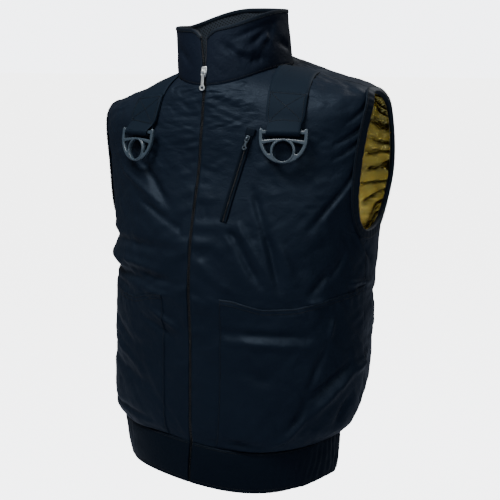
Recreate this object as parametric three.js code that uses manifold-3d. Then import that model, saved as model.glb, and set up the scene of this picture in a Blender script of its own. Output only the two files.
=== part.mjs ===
// A sleeveless work vest with a stand-up collar, filled out as it is on a body. It is sewn from cloth walls
// and webbing, with two zips and two moulded rings. Millimetres, +Z up. The wearer looks along -Y, and their
// left is +X. The origin is the middle of the neck, level with the point where the collar seam crosses the
// shoulder seam.

import * as THREE from "three";
import { mergeVertices } from "three/addons/utils/BufferGeometryUtils.js";
import Module from "manifold-3d";

const wasm = await Module();
wasm.setup();

// Cloth, foil and webbing thicknesses, and the gaps between layers.
const SHELL_CLOTH = 1.5;
const LINING_FOIL = 1.0;
const LINING_STANDOFF = 6;
const LINING_EDGE_GAP = 2;
const LINING_FRONT_INSET_DEG = 7;
const LINING_BACK_INSET_DEG = 4.8;
const POCKET_CLOTH = 1.2;
const COLLAR_MESH = 2.2;
const BINDING_CLOTH = 1.2;
const BINDING_GAP = 1.6;
const SEAM_GAP = 0.35;
const LAYER_GAP = 0.5;

// Body of the vest. The wearer's right shoulder hangs lower, and that side is drawn in a little.
const BODY_LENGTH = 604;
const CHEST_WIDTH = 434;
const FRONT_DEPTH = 143;
const BACK_DEPTH = 168;
const BACK_CORNER_FULLNESS = 0.13;
const SHOULDER_WIDTH = 470;
const SHOULDER_DROP = 34;
const SHOULDER_TOP_DEPTH = 104;
const RIGHT_SHOULDER_DROP = 27;
const RIGHT_WAIST_PULL = 14;
const NECK_WIDTH = 172;
const NECK_FRONT_DEPTH = 94;
const NECK_BACK_DEPTH = 70;
const NECK_FRONT_DROP = 28;
const NECK_BACK_RISE = 28;

// Hem band.
const HEM_WIDTH = 338;
const HEM_SHIFT_RIGHT = 4;
const HEM_FRONT_DEPTH = 137;
const HEM_BACK_DEPTH = 76;
const HEM_DIP = 16;
const HEM_DIP_DEG = 35;
const HEM_DIP_LEVEL = 0.14;
const HEM_BACK_LIFT = 5;
const HEM_BAND_HEIGHT = 62;
const HEM_BAND_PROUD = 1.2;
const HEM_GATHER_COUNT = 30;
const HEM_GATHER_DEPTH = 1.6;
const HEM_PLAIN_FRONT_DEG = 24;

// Armholes: their height, and how far each edge lies from the shoulder and side seams.
const ARMHOLE_HEIGHT = 202;
const ARMHOLE_FRONT_DEG = 17;
const ARMHOLE_BACK_DEG = 28;
const BINDING_WIDTH = 12;

// Collar.
const COLLAR_FRONT_HEIGHT = 81;
const COLLAR_SIDE_HEIGHT = 82;
const COLLAR_BACK_HEIGHT = 58;
const COLLAR_RIGHT_DROP = 14;
const COLLAR_TOP_WIDTH = 172;
const COLLAR_TOP_FRONT_DEPTH = 85;
const COLLAR_TOP_BACK_DEPTH = 57;
const COLLAR_LEAN_RIGHT = 7;
const COLLAR_CORNER_DROP = 19;
const COLLAR_CORNER_DEG = 16;
const COLLAR_MOUTH = 7;
const RIM_WIDTH = 5;

// Main zip.
const ZIP_REVEAL = 7;
const ZIP_TAPE_WIDTH = 13;
const ZIP_TAPE_THICKNESS = 0.9;
const ZIP_TEETH_WIDTH = 2.3;
const ZIP_TEETH_THICKNESS = 1.8;
const SLIDER_UP_COLLAR = 0.32;
const SLIDER_LENGTH = 15;
const SLIDER_WIDTH = 9;
const SLIDER_THICKNESS = 2;
const PULL_LENGTH = 28;
const PULL_WIDTH = 9;
const PULL_THICKNESS = 2;
const PULL_CLEARANCE = 0.5;

// Chest pocket zip, on the wearer's left.
const CHEST_ZIP_TOP_X = 80;
const CHEST_ZIP_TOP_LEVEL = 0.745;
const CHEST_ZIP_FOOT_X = 50;
const CHEST_ZIP_FOOT_LEVEL = 0.495;
const CHEST_ZIP_WIDTH = 11;
const CHEST_ZIP_THICKNESS = 1.3;
const CHEST_ZIP_GAP = 1.2;
const CHEST_SLIDER_SHARE = 0.1;
const CHEST_SLIDER_LENGTH = 9;
const CHEST_SLIDER_WIDTH = 6.5;
const CHEST_SLIDER_THICKNESS = 1.6;
const CHEST_PULL_LENGTH = 17;
const CHEST_PULL_WIDTH = 7;
const CHEST_PULL_THICKNESS = 1.6;

// Lower pockets.
const POCKET_INSET_DEG = 15.5;
const POCKET_TOP_LEVEL = 0.335;
const POCKET_FOOT_LEVEL = 0.006;

// Shoulder webbing and rings.
const WEBBING_WIDTH = 54;
const WEBBING_THICKNESS = 1.7;
const WEBBING_RETURN = 46;
const WEBBING_LINE_COUNT = 3;
const STRAP_LEFT_TURN_DEG = 14;
const STRAP_RIGHT_TURN_DEG = 17;
const STRAP_LEFT_X = 107;
const STRAP_RIGHT_X = 81;
const STRAP_GAP = 2.4;
const RING_BAR_FALL = 91;
const RING_BAR_FALL_RIGHT = 97;
const RING_STANDOFF = 1.5;
const RING_TILT_DEG = 9;
const RING_BAR_HEIGHT = 5.2;
const RING_BAR_CLEARANCE = 0.8;
const RING_WIDTH = 71;
const RING_DROP = 44;
const RING_THICKNESS = 5;
const RING_BOW = 5;
const RING_EYE_DIAMETER = 28;
const RING_RIB = 4;
const RING_EAR_RISE = 5;
const RING_SLOT = 9;

const DEG = Math.PI / 180;
const QUARTER = Math.PI / 2;

// Colours and finishes.
function finish(color, roughness, metalness = 0) {
  return new THREE.MeshStandardMaterial({ color, roughness, metalness });
}
const CLOTH = () => finish(0x1b222b, 0.55);
const FOIL = () => finish(0xa8862c, 0.3, 0.9);
const MESH = () => finish(0x15181d, 0.9);
const BINDING = () => finish(0x1f252d, 0.7);
const WEBBING = () => finish(0x20272f, 0.8);
const TAPE = () => finish(0x14181d, 0.8);
const TEETH = () => finish(0x202327, 0.4);
const SILVER = () => finish(0xc9cdcd, 0.3, 0.9);
const MOULDING = () => finish(0x515c66, 0.45);

const group = new THREE.Group();

// Sections of the body from the hem seam to the collar seam. Level runs from 0 at the hem seam to 1 at the
// collar seam. Half, front and back are the reach to each side, full squares the back's corners, and the
// heights are at front, side and back. Drop and pull lower the wearer's right side and draw it in.
const underarmZ = -SHOULDER_DROP - ARMHOLE_HEIGHT;
const hemSeamZ = HEM_BAND_HEIGHT - BODY_LENGTH;
const alongSkirt = (share) => underarmZ + share * (hemSeamZ - underarmZ);
const alongArmhole = (share) => -SHOULDER_DROP - share * ARMHOLE_HEIGHT;
const sections = [
  {
    level: 0, half: 0.5 * HEM_WIDTH, front: HEM_FRONT_DEPTH, back: 1.09 * HEM_BACK_DEPTH, full: 0,
    frontZ: hemSeamZ, sideZ: hemSeamZ, backZ: hemSeamZ + HEM_BACK_LIFT, drop: 0, pull: -1.7,
  },
  {
    level: 0.05, half: 0.45 * CHEST_WIDTH, front: 0.985 * FRONT_DEPTH, back: 0.68 * BACK_DEPTH, full: 0.02,
    frontZ: alongSkirt(0.94), sideZ: alongSkirt(0.92), backZ: alongSkirt(0.92), drop: 0, pull: -0.8,
  },
  {
    level: 0.14, half: 0.482 * CHEST_WIDTH, front: 0.98 * FRONT_DEPTH, back: 0.84 * BACK_DEPTH, full: 0.04,
    frontZ: alongSkirt(0.74), sideZ: alongSkirt(0.72), backZ: alongSkirt(0.72), drop: 0, pull: 0.3,
  },
  {
    level: 0.24, half: 0.488 * CHEST_WIDTH, front: 0.975 * FRONT_DEPTH, back: 0.94 * BACK_DEPTH, full: 0.04,
    frontZ: alongSkirt(0.51), sideZ: alongSkirt(0.5), backZ: alongSkirt(0.5), drop: 0, pull: 0.7,
  },
  {
    level: 0.36, half: 0.493 * CHEST_WIDTH, front: FRONT_DEPTH, back: BACK_DEPTH, full: 0.04,
    frontZ: alongSkirt(0.25), sideZ: alongSkirt(0.24), backZ: alongSkirt(0.24), drop: 0, pull: 1,
  },
  {
    level: 0.46, half: 0.5 * CHEST_WIDTH, front: 0.95 * FRONT_DEPTH, back: 0.985 * BACK_DEPTH,
    full: 0.6 * BACK_CORNER_FULLNESS, frontZ: alongSkirt(0.02), sideZ: underarmZ, backZ: underarmZ,
    drop: 0.1, pull: 0.65,
  },
  {
    level: 0.61, half: 0.49 * SHOULDER_WIDTH, front: 0.79 * FRONT_DEPTH, back: 0.9 * BACK_DEPTH,
    full: BACK_CORNER_FULLNESS, frontZ: alongArmhole(0.575), sideZ: alongArmhole(0.54),
    backZ: alongArmhole(0.52), drop: 0.5, pull: 0.7,
  },
  {
    level: 0.745, half: 0.5 * SHOULDER_WIDTH, front: 1.02 * SHOULDER_TOP_DEPTH,
    back: 1.28 * SHOULDER_TOP_DEPTH, full: 0.6 * BACK_CORNER_FULLNESS, frontZ: alongArmhole(0.31),
    sideZ: alongArmhole(0.11), backZ: alongArmhole(0.07), drop: 0.95, pull: 0.5,
  },
  {
    level: 0.785, half: 0.472 * SHOULDER_WIDTH, front: 0.995 * SHOULDER_TOP_DEPTH,
    back: 1.2 * SHOULDER_TOP_DEPTH, full: 0.3 * BACK_CORNER_FULLNESS,
    frontZ: -1.1 * NECK_FRONT_DROP - 1.6 * SHOULDER_DROP, sideZ: -0.93 * SHOULDER_DROP,
    backZ: -0.65 * SHOULDER_DROP, drop: 1, pull: 0.4,
  },
  {
    level: 0.915, half: 0.297 * SHOULDER_WIDTH, front: 0.95 * SHOULDER_TOP_DEPTH,
    back: 0.9 * SHOULDER_TOP_DEPTH, full: 0, frontZ: -1.1 * NECK_FRONT_DROP - 0.45 * SHOULDER_DROP,
    sideZ: -0.36 * SHOULDER_DROP, backZ: 0.45 * NECK_BACK_RISE, drop: 0.65, pull: 0,
  },
  {
    level: 1, half: 0.5 * NECK_WIDTH, front: NECK_FRONT_DEPTH, back: NECK_BACK_DEPTH, full: 0,
    frontZ: -NECK_FRONT_DROP, sideZ: 0, backZ: NECK_BACK_RISE, drop: 0.35, pull: 0,
  },
];
const UNDERARM_LEVEL = 0.46;
const ARMHOLE_TOP_LEVEL = 0.775;
const LINING_TOP_LEVEL = 0.985;

// An angle brought to between half a turn back and half a turn on.
const wrapAngle = (angle) => THREE.MathUtils.euclideanModulo(angle + Math.PI, 2 * Math.PI) - Math.PI;

// A smooth curve through one column of the table, with slopes taken from each row's neighbours.
function columnAt(rows, column, level) {
  let i = 0;
  while (i < rows.length - 2 && level > rows[i + 1].level) i += 1;
  const slope = (k) => {
    const below = rows[Math.max(k - 1, 0)];
    const above = rows[Math.min(k + 1, rows.length - 1)];
    return (above[column] - below[column]) / (above.level - below.level);
  };
  const span = rows[i + 1].level - rows[i].level;
  const t = (level - rows[i].level) / span;
  const start = rows[i][column];
  const rise = rows[i + 1][column] - start;
  const swing = slope(i) * t * (1 - t) ** 2 - slope(i + 1) * t * t * (1 - t);
  return start + rise * t * t * (3 - 2 * t) + span * swing;
}

// The hem hangs lowest to the left of the front middle, and the dip fades out up the skirt.
const hemDip = (angle) => HEM_DIP * Math.max(0, Math.cos(angle - HEM_DIP_DEG * DEG)) ** 4;

// The form of the body before folds. Angle 0 is the front middle, and a quarter turn is the wearer's left.
function bodyForm(angle, level) {
  const at = (column) => columnAt(sections, column, level);
  const s = Math.sin(angle);
  const c = Math.cos(angle);
  const fullness = c < 0 ? 1 + at("full") * Math.sin(2 * angle) ** 2 : 1;
  const depth = c < 0 ? at("back") : at("front");
  const endZ = c < 0 ? at("backZ") : at("frontZ");
  const right = s < 0 ? s * s : 0;
  const x = s * at("half") * fullness + right * at("pull") * RIGHT_WAIST_PULL;
  const z = at("sideZ") * s * s + endZ * c * c - right * at("drop") * RIGHT_SHOULDER_DROP;
  const dip = hemDip(angle) * Math.max(0, 1 - level / HEM_DIP_LEVEL) ** 2;
  return new THREE.Vector3(x, -c * depth * fullness, z - dip);
}

// The hem band's form, from its lower edge at rise 0 to the hem seam at rise 1.
function hemForm(angle, rise) {
  const s = Math.sin(angle);
  const c = Math.cos(angle);
  const depth = c < 0 ? HEM_BACK_DEPTH : HEM_FRONT_DEPTH;
  const lift = c < 0 ? HEM_BACK_LIFT * c * c : 0;
  const edgeZ = lift - BODY_LENGTH - hemDip(angle);
  const edge = new THREE.Vector3(0.5 * HEM_WIDTH * s - HEM_SHIFT_RIGHT, -depth * c, edgeZ);
  return edge.lerp(bodyForm(angle, 0), rise);
}

// The collar's form, from its seam at rise 0 to its rim at rise 1. The rim dips to its front corners.
function collarForm(angle, rise) {
  const s = Math.sin(angle);
  const c = Math.cos(angle);
  const foot = bodyForm(angle, 1);
  const depth = c < 0 ? COLLAR_TOP_BACK_DEPTH : COLLAR_TOP_FRONT_DEPTH;
  const endHeight = c < 0 ? COLLAR_BACK_HEIGHT : COLLAR_FRONT_HEIGHT;
  const turn = Math.abs(wrapAngle(angle));
  const corner = Math.max(0, 1 - turn / (COLLAR_CORNER_DEG * DEG)) ** 2 * COLLAR_CORNER_DROP;
  const drop = s < 0 ? COLLAR_RIGHT_DROP * s * s : 0;
  const height = COLLAR_SIDE_HEIGHT * s * s + endHeight * c * c - corner - drop;
  const rim = new THREE.Vector3(0.5 * COLLAR_TOP_WIDTH * s - COLLAR_LEAN_RIGHT, -depth * c, foot.z + height);
  return foot.lerp(rim, rise);
}

// The angle at which a form is so many millimetres to the side of its front middle.
function angleAcross(form, at, across) {
  const step = 0.01;
  return Math.asin((across * 2 * step) / (form(step, at).x - form(-step, at).x));
}

function normalOf(form, angle, at) {
  const step = 1e-4;
  const across = form(angle + step, at).sub(form(angle - step, at));
  const up = form(angle, Math.min(at + step, 1)).sub(form(angle, Math.max(at - step, 0)));
  return across.cross(up).normalize();
}

// A point of a form, pushed out along its normal.
function offsetPoint(form, angle, at, outward) {
  return form(angle, at).addScaledVector(normalOf(form, angle, at), outward);
}

// Folds and dents of the shell cloth. Each runs from one place to another, given in degrees round from the
// front middle, the wearer's left positive, and as a level. Breadth and rise are shares of the chest width,
// and a dent's rise is negative.
const folds = [
  { fromDeg: 13, fromLevel: 0.485, toDeg: 27, toLevel: 0.39, breadth: 0.022, rise: -0.007 },
  { fromDeg: 21, fromLevel: 0.5, toDeg: 38, toLevel: 0.375, breadth: 0.026, rise: -0.008 },
  { fromDeg: 30, fromLevel: 0.485, toDeg: 44, toLevel: 0.4, breadth: 0.024, rise: 0.006 },
  { fromDeg: 40, fromLevel: 0.62, toDeg: 66, toLevel: 0.72, breadth: 0.024, rise: -0.006 },
  { fromDeg: 45, fromLevel: 0.51, toDeg: 66, toLevel: 0.58, breadth: 0.022, rise: -0.006 },
  { fromDeg: 17, fromLevel: 0.285, toDeg: 50, toLevel: 0.295, breadth: 0.02, rise: -0.006 },
  { fromDeg: 55, fromLevel: 0.05, toDeg: 72, toLevel: 0.22, breadth: 0.03, rise: -0.007 },
  { fromDeg: 70, fromLevel: 0.4, toDeg: 84, toLevel: 0.34, breadth: 0.022, rise: -0.008 },
  { fromDeg: -62, fromLevel: 0.62, toDeg: -19, toLevel: 0.48, breadth: 0.024, rise: -0.006 },
  { fromDeg: -70, fromLevel: 0.47, toDeg: -20, toLevel: 0.43, breadth: 0.02, rise: -0.007 },
  { fromDeg: -72, fromLevel: 0.41, toDeg: -30, toLevel: 0.39, breadth: 0.02, rise: 0.006 },
  { fromDeg: -40, fromLevel: 0.1, toDeg: -25, toLevel: 0.3, breadth: 0.03, rise: -0.006 },
  { fromDeg: 135, fromLevel: 0.5, toDeg: 215, toLevel: 0.48, breadth: 0.035, rise: -0.008 },
  { fromDeg: 150, fromLevel: 0.4, toDeg: 128, toLevel: 0.3, breadth: 0.03, rise: -0.007 },
  { fromDeg: 205, fromLevel: 0.36, toDeg: 228, toLevel: 0.28, breadth: 0.03, rise: -0.007 },
];

// Folds fade out over these shares: of a turn at the zip, of the armhole's size round it, and of the body's
// height at the hem seam and at the collar seam.
const ZIP_FADE = 0.1;
const ARMHOLE_FADE = 0.9;
const HEM_FADE = 0.04;
const COLLAR_FADE = 0.06;
function seamFade(angle, level) {
  const turn = Math.abs(angle) / QUARTER;
  const reach = (turn < 1 ? ARMHOLE_FRONT_DEG : ARMHOLE_BACK_DEG) * DEG;
  const halfway = 0.5 * (UNDERARM_LEVEL + ARMHOLE_TOP_LEVEL);
  const across = (Math.abs(angle) - QUARTER) / reach;
  const fromHole = Math.hypot(across, (level - halfway) / (ARMHOLE_TOP_LEVEL - halfway)) - 1;
  const ends = Math.min(level / HEM_FADE, (1 - level) / COLLAR_FADE);
  const near = THREE.MathUtils.clamp(Math.min(turn / ZIP_FADE, fromHole / ARMHOLE_FADE, ends), 0, 1);
  return near * near * (3 - 2 * near);
}

// Folds are measured on the cloth, so a degree and a level each stand for a length.
const perDegree = 0.0078 * CHEST_WIDTH;
const perLevel = BODY_LENGTH + 0.15 * CHEST_WIDTH;
function foldRise(angle, level) {
  const wrapped = wrapAngle(angle);
  let rise = 0;
  for (const fold of folds) {
    const turned = fold.toDeg * DEG > QUARTER && wrapped < 0 ? wrapped + 2 * Math.PI : wrapped;
    const here = new THREE.Vector2((turned / DEG) * perDegree, level * perLevel);
    const from = new THREE.Vector2(fold.fromDeg * perDegree, fold.fromLevel * perLevel);
    const run = new THREE.Vector2(fold.toDeg * perDegree, fold.toLevel * perLevel).sub(from);
    const along = THREE.MathUtils.clamp(here.clone().sub(from).dot(run) / run.lengthSq(), 0, 1);
    const away = here.distanceTo(from.addScaledVector(run, along)) / (fold.breadth * CHEST_WIDTH);
    rise += fold.rise * CHEST_WIDTH * Math.exp(-away * away);
  }
  return rise * seamFade(wrapped, level);
}

// Solids from lists of corners and triangles.
function solid(name, corners, triangles, material) {
  let volume = 0;
  for (const [a, b, c] of triangles) volume += corners[a].dot(corners[b].clone().cross(corners[c]));
  const facing = volume < 0 ? triangles.map(([a, b, c]) => [a, c, b]) : triangles;
  const geometry = new THREE.BufferGeometry();
  geometry.setAttribute("position", new THREE.Float32BufferAttribute(corners.flatMap((p) => p.toArray()), 3));
  geometry.setIndex(facing.flat());
  return addMesh(name, geometry, material);
}

function addMesh(name, geometry, material) {
  geometry.computeVertexNormals();
  const mesh = new THREE.Mesh(geometry, material);
  mesh.name = name;
  group.add(mesh);
  return mesh;
}

// A wall between two grids of corners, both listed row by row.
function wallBetween(name, outer, inner, material) {
  const rows = outer.length;
  const columns = outer[0].length;
  const corners = [...outer.flat(), ...inner.flat()];
  const out = (r, c) => r * columns + c;
  const into = (r, c) => rows * columns + out(r, c);
  const triangles = [];
  const quad = (a, b, c, d) => triangles.push([a, b, c], [a, c, d]);
  for (let r = 0; r < rows - 1; r += 1) {
    for (let c = 0; c < columns - 1; c += 1) {
      quad(out(r, c), out(r, c + 1), out(r + 1, c + 1), out(r + 1, c));
      quad(into(r, c), into(r + 1, c), into(r + 1, c + 1), into(r, c + 1));
    }
    quad(into(r, 0), out(r, 0), out(r + 1, 0), into(r + 1, 0));
    quad(out(r, columns - 1), into(r, columns - 1), into(r + 1, columns - 1), out(r + 1, columns - 1));
  }
  for (let c = 0; c < columns - 1; c += 1) {
    quad(into(0, c), into(0, c + 1), out(0, c + 1), out(0, c));
    quad(out(rows - 1, c), out(rows - 1, c + 1), into(rows - 1, c + 1), into(rows - 1, c));
  }
  return solid(name, corners, triangles, material);
}

// A solid through a row of like sections, each a loop of corners. Its ends are closed by the quads in caps,
// and a ring has no ends.
function loft(name, loops, material, caps = [[0, 1, 2, 3]]) {
  const size = loops[0].length;
  const isRing = caps.length === 0;
  const triangles = [];
  for (let i = 0; i < (isRing ? loops.length : loops.length - 1); i += 1) {
    const near = i * size;
    const far = ((i + 1) % loops.length) * size;
    for (let k = 0; k < size; k += 1) {
      const next = (k + 1) % size;
      triangles.push([near + k, near + next, far + next], [near + k, far + next, far + k]);
    }
  }
  const last = (loops.length - 1) * size;
  for (const [a, b, c, d] of caps) {
    triangles.push([a, c, b], [a, d, c], [last + a, last + b, last + c], [last + a, last + c, last + d]);
  }
  return solid(name, loops.flat(), triangles, material);
}

// A folded binding's section: two legs over the layers from outward to inward, and the fold past their edge.
// Place gives the corner at a distance in from the edge, negative past it, and a height off the cloth.
const BINDING_CAPS = [[0, 1, 2, 7], [7, 2, 3, 6], [6, 3, 4, 5]];
function bindingSection(place, width, top, bottom) {
  const fold = -SEAM_GAP - BINDING_CLOTH;
  return [
    place(width, top), place(width, top + BINDING_CLOTH), place(fold, top + BINDING_CLOTH),
    place(fold, bottom - BINDING_CLOTH), place(width, bottom - BINDING_CLOTH), place(width, bottom),
    place(-SEAM_GAP, bottom), place(-SEAM_GAP, top),
  ];
}

const spread = (count, from, to) => Array.from(
  { length: count + 1 }, (_, i) => from + ((to - from) * i) / count);

// Levels of the body's grid: up the skirt, round the armhole and over the shoulder.
const pocketLevels = spread(6, 0, 1).map((share) => POCKET_TOP_LEVEL * share ** 1.2);
const waistLevels = spread(3, POCKET_TOP_LEVEL, UNDERARM_LEVEL).slice(1, -1);
const holeLevels = (hole) => spread(10, 0, Math.PI).map(
  (turn) => THREE.MathUtils.lerp(hole.low, hole.high, 0.5 - 0.5 * Math.cos(turn)));

// The armhole's edge in the shell, and the lining's edge, which stops at the binding's inner leg.
const shellHole = {
  low: UNDERARM_LEVEL, high: ARMHOLE_TOP_LEVEL, front: ARMHOLE_FRONT_DEG * DEG, back: ARMHOLE_BACK_DEG * DEG,
};
const liningInset = BINDING_WIDTH + 4 * LAYER_GAP;
const liningHole = {
  low: shellHole.low - liningInset / BODY_LENGTH, high: shellHole.high + liningInset / BODY_LENGTH,
  front: shellHole.front + LINING_FRONT_INSET_DEG * DEG, back: shellHole.back + LINING_BACK_INSET_DEG * DEG,
};
const armholeLevels = holeLevels(shellHole);
const overShoulder = (share) => THREE.MathUtils.lerp(ARMHOLE_TOP_LEVEL, 1, share ** 1.6);
const shoulderLevels = spread(5, 0, 1).slice(1).map(overShoulder);
const levels = [...pocketLevels, ...waistLevels, ...armholeLevels, ...shoulderLevels];

// How far an armhole's edge lies from the seam at a level, as a share of its widest.
function holeShare(hole, level) {
  const t = (2 * (level - hole.low)) / (hole.high - hole.low) - 1;
  return Math.abs(t) < 1 ? (1 - Math.abs(t) ** 2.2) ** (1 / 2.2) : 0;
}
const frontEdge = (hole, level) => QUARTER - hole.front * holeShare(hole, level);
const backEdge = (hole, level) => QUARTER + hole.back * holeShare(hole, level);
const seamAngle = (0.5 * SEAM_GAP) / NECK_BACK_DEPTH;

// Angles of the panels' columns. Front columns run from the zip to the side, with one on the pocket's inner
// edge.
const pocketShare = (POCKET_INSET_DEG * DEG) / QUARTER;
const frontShares = [0, 0.5 * pocketShare, ...spread(8, pocketShare, 1)];
const backShares = spread(20, 0, 1);
const everySecond = (list) => list.filter((_, i) => i % 2 === 0);
const sideNames = [["left", 1], ["right", -1]];

const frontAngles = (hole, fromZip) => (level) => {
  const start = angleAcross(bodyForm, level, fromZip);
  return frontShares.map((share) => THREE.MathUtils.lerp(start, frontEdge(hole, level) - seamAngle, share));
};
const backAngles = (hole) => (level) => {
  const start = backEdge(hole, level) + seamAngle;
  return backShares.map((share) => THREE.MathUtils.lerp(start, 2 * Math.PI - start, share));
};
const shellFrontAngles = frontAngles(shellHole, 0.5 * ZIP_REVEAL);

const bodyGrid = (rows, anglesAt, outwardAt) => rows.map((level, r) => anglesAt(level).map(
  (angle, c, row) => offsetPoint(bodyForm, angle, level, outwardAt(angle, level, r, c, row.length))));

function shellPanel(name, anglesAt) {
  const outer = bodyGrid(levels, anglesAt, foldRise);
  const inner = bodyGrid(levels, anglesAt, (angle, level) => foldRise(angle, level) - SHELL_CLOTH);
  wallBetween(name, outer, inner, CLOTH());
}

for (const [name, side] of sideNames) {
  shellPanel(`shell_front_${name}`, (level) => shellFrontAngles(level).map((angle) => side * angle));
}
shellPanel("shell_back", backAngles(shellHole));

// The foil lining hangs free of the shell. Its edges are caught by the seams, the tapes and the bindings.
const liningLevels = [
  ...everySecond(pocketLevels), ...waistLevels, ...holeLevels(liningHole), ...shoulderLevels.slice(2, -1),
  LINING_TOP_LEVEL,
];
liningLevels.splice(1, 0, pocketLevels[1]);
function liningPanel(name, anglesAt) {
  const outwardOf = (depth) => (angle, level, r, c, columns) => {
    const atEdge = r === 0 || r === liningLevels.length - 1 || c === 0 || c === columns - 1;
    return -SHELL_CLOTH - depth - (atEdge ? LINING_EDGE_GAP : LINING_STANDOFF);
  };
  const outer = bodyGrid(liningLevels, anglesAt, outwardOf(0));
  const inner = bodyGrid(liningLevels, anglesAt, outwardOf(LINING_FOIL));
  wallBetween(name, outer, inner, FOIL());
}

const liningFrontAngles = frontAngles(liningHole, ZIP_TAPE_WIDTH + LAYER_GAP);
for (const [name, side] of sideNames) {
  const anglesAt = (level) => everySecond(liningFrontAngles(level)).map((angle) => side * angle);
  liningPanel(`lining_front_${name}`, anglesAt);
}
liningPanel("lining_back", (level) => everySecond(backAngles(liningHole)(level)));

// Armhole bindings fold over the shell's edge, with their inner leg over the layers.
const holeLoop = [
  ...armholeLevels.map((level) => ({ angle: frontEdge(shellHole, level), level })),
  ...armholeLevels.slice(1, -1).reverse().map((level) => ({ angle: backEdge(shellHole, level), level })),
];

// How the angle and the level change for each millimetre moved along the body in a direction.
function stepAlong(direction, angle, level) {
  const step = 1e-3;
  const here = bodyForm(angle, level);
  const perAngle = bodyForm(angle + step, level).sub(here).divideScalar(step);
  const perLevel = bodyForm(angle, level + step).sub(here).divideScalar(step);
  const out = perAngle.clone().cross(perLevel);
  return {
    angle: direction.clone().cross(perLevel).dot(out) / out.lengthSq(),
    level: perAngle.cross(direction).dot(out) / out.lengthSq(),
  };
}

function armholeBinding(name, side) {
  const layers = SHELL_CLOTH + BINDING_GAP;
  const loops = holeLoop.map(({ angle, level }, i) => {
    const before = holeLoop[(i + holeLoop.length - 1) % holeLoop.length];
    const after = holeLoop[(i + 1) % holeLoop.length];
    const along = bodyForm(side * after.angle, after.level).sub(bodyForm(side * before.angle, before.level));
    const inFromEdge = along.normalize().cross(normalOf(bodyForm, side * angle, level)).multiplyScalar(-side);
    const step = stepAlong(inFromEdge, side * angle, level);
    const place = (inward, outward) => offsetPoint(
      bodyForm, side * angle + step.angle * inward, level + step.level * inward, outward);
    return bindingSection(place, BINDING_WIDTH, BINDING_GAP, -layers);
  });
  loft(name, loops, BINDING(), []);
}
for (const [name, side] of sideNames) armholeBinding(`armhole_binding_${name}`, side);

// Collar shell, its mesh lining and the binding over their rim.
const sliderRise = SLIDER_UP_COLLAR;
const mouthAt = (rise) => (0.5 * COLLAR_MOUTH * Math.max(0, rise - sliderRise)) / (1 - sliderRise);
const collarShares = spread(22, 0, 1);
const collarFoot = SEAM_GAP / COLLAR_BACK_HEIGHT;
const collarRises = spread(3, collarFoot, 1);
function collarAngles(rise) {
  const start = angleAcross(collarForm, rise, 0.5 * ZIP_REVEAL + mouthAt(rise));
  const tape = angleAcross(collarForm, rise, ZIP_TAPE_WIDTH + SEAM_GAP + mouthAt(rise));
  const between = collarShares.map((share) => THREE.MathUtils.lerp(tape, 2 * Math.PI - tape, share));
  return [start, ...between, 2 * Math.PI - start];
}
const collarGrid = (rises, outward) => rises.map(
  (rise) => collarAngles(rise).map((angle) => offsetPoint(collarForm, angle, rise, outward)));
const meshFace = -SHELL_CLOTH - ZIP_TAPE_THICKNESS - 2 * LAYER_GAP;
wallBetween("collar_shell", collarGrid(collarRises, 0), collarGrid(collarRises, -SHELL_CLOTH), CLOTH());
const meshBack = meshFace - COLLAR_MESH;
wallBetween("collar_mesh", collarGrid(collarRises, meshFace), collarGrid(collarRises, meshBack), MESH());

const rimLoops = collarAngles(1).map((angle) => {
  const place = (inward, outward) => {
    const down = collarForm(angle, 0).sub(collarForm(angle, 1)).normalize();
    return offsetPoint(collarForm, angle, 1, outward).addScaledVector(down, inward);
  };
  return bindingSection(place, RIM_WIDTH, LAYER_GAP, meshBack - LAYER_GAP);
});
loft("collar_rim", rimLoops, BINDING(), BINDING_CAPS);

// Hem band: plain beside the zip, gathered on its elastic round the sides and back.
const hemStart = angleAcross(hemForm, 1, 0.5 * ZIP_REVEAL);
const plainEnd = HEM_PLAIN_FRONT_DEG * DEG;
const hemAngles = [
  ...spread(3, hemStart, plainEnd).slice(0, -1),
  ...spread(2 * HEM_GATHER_COUNT, plainEnd, 2 * Math.PI - plainEnd),
  ...spread(3, 2 * Math.PI - plainEnd, 2 * Math.PI - hemStart).slice(1),
];
const hemTop = 1 - SEAM_GAP / HEM_BAND_HEIGHT;
const hemGrid = (outwardAt) => [0, 0.5, hemTop].map(
  (rise) => hemAngles.map((angle, c) => offsetPoint(hemForm, angle, rise, outwardAt(c, rise))));
const gatherAt = (c) => (c > 2 && c < hemAngles.length - 3 && c % 2 === 0 ? HEM_GATHER_DEPTH : 0);
wallBetween("hem_band", hemGrid((c) => HEM_BAND_PROUD + gatherAt(c)), hemGrid(() => -SHELL_CLOTH), BINDING());

// Lower pockets lie on the fronts, from the hem seam to their top seam and from their inner edge to the side
// seam.
const pocketFirst = frontShares.indexOf(pocketShare);
const pocketRows = [POCKET_FOOT_LEVEL, ...pocketLevels.slice(1)];
for (const [name, side] of sideNames) {
  const anglesAt = (level) => shellFrontAngles(level).slice(pocketFirst).map((angle) => side * angle);
  const grid = (height) => bodyGrid(pocketRows, anglesAt, (angle, level) => foldRise(angle, level) + height);
  wallBetween(`pocket_${name}`, grid(LAYER_GAP + POCKET_CLOTH), grid(LAYER_GAP), CLOTH());
}

// The zip line up the front: stations on the hem band, the body and the collar.
const stations = [
  { form: hemForm, at: 0 }, { form: hemForm, at: 0.5 },
  ...levels.map((level) => ({ form: bodyForm, at: level })),
  ...collarRises.slice(1).map((rise) => ({ form: collarForm, at: rise, mouth: mouthAt(rise) })),
];

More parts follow.
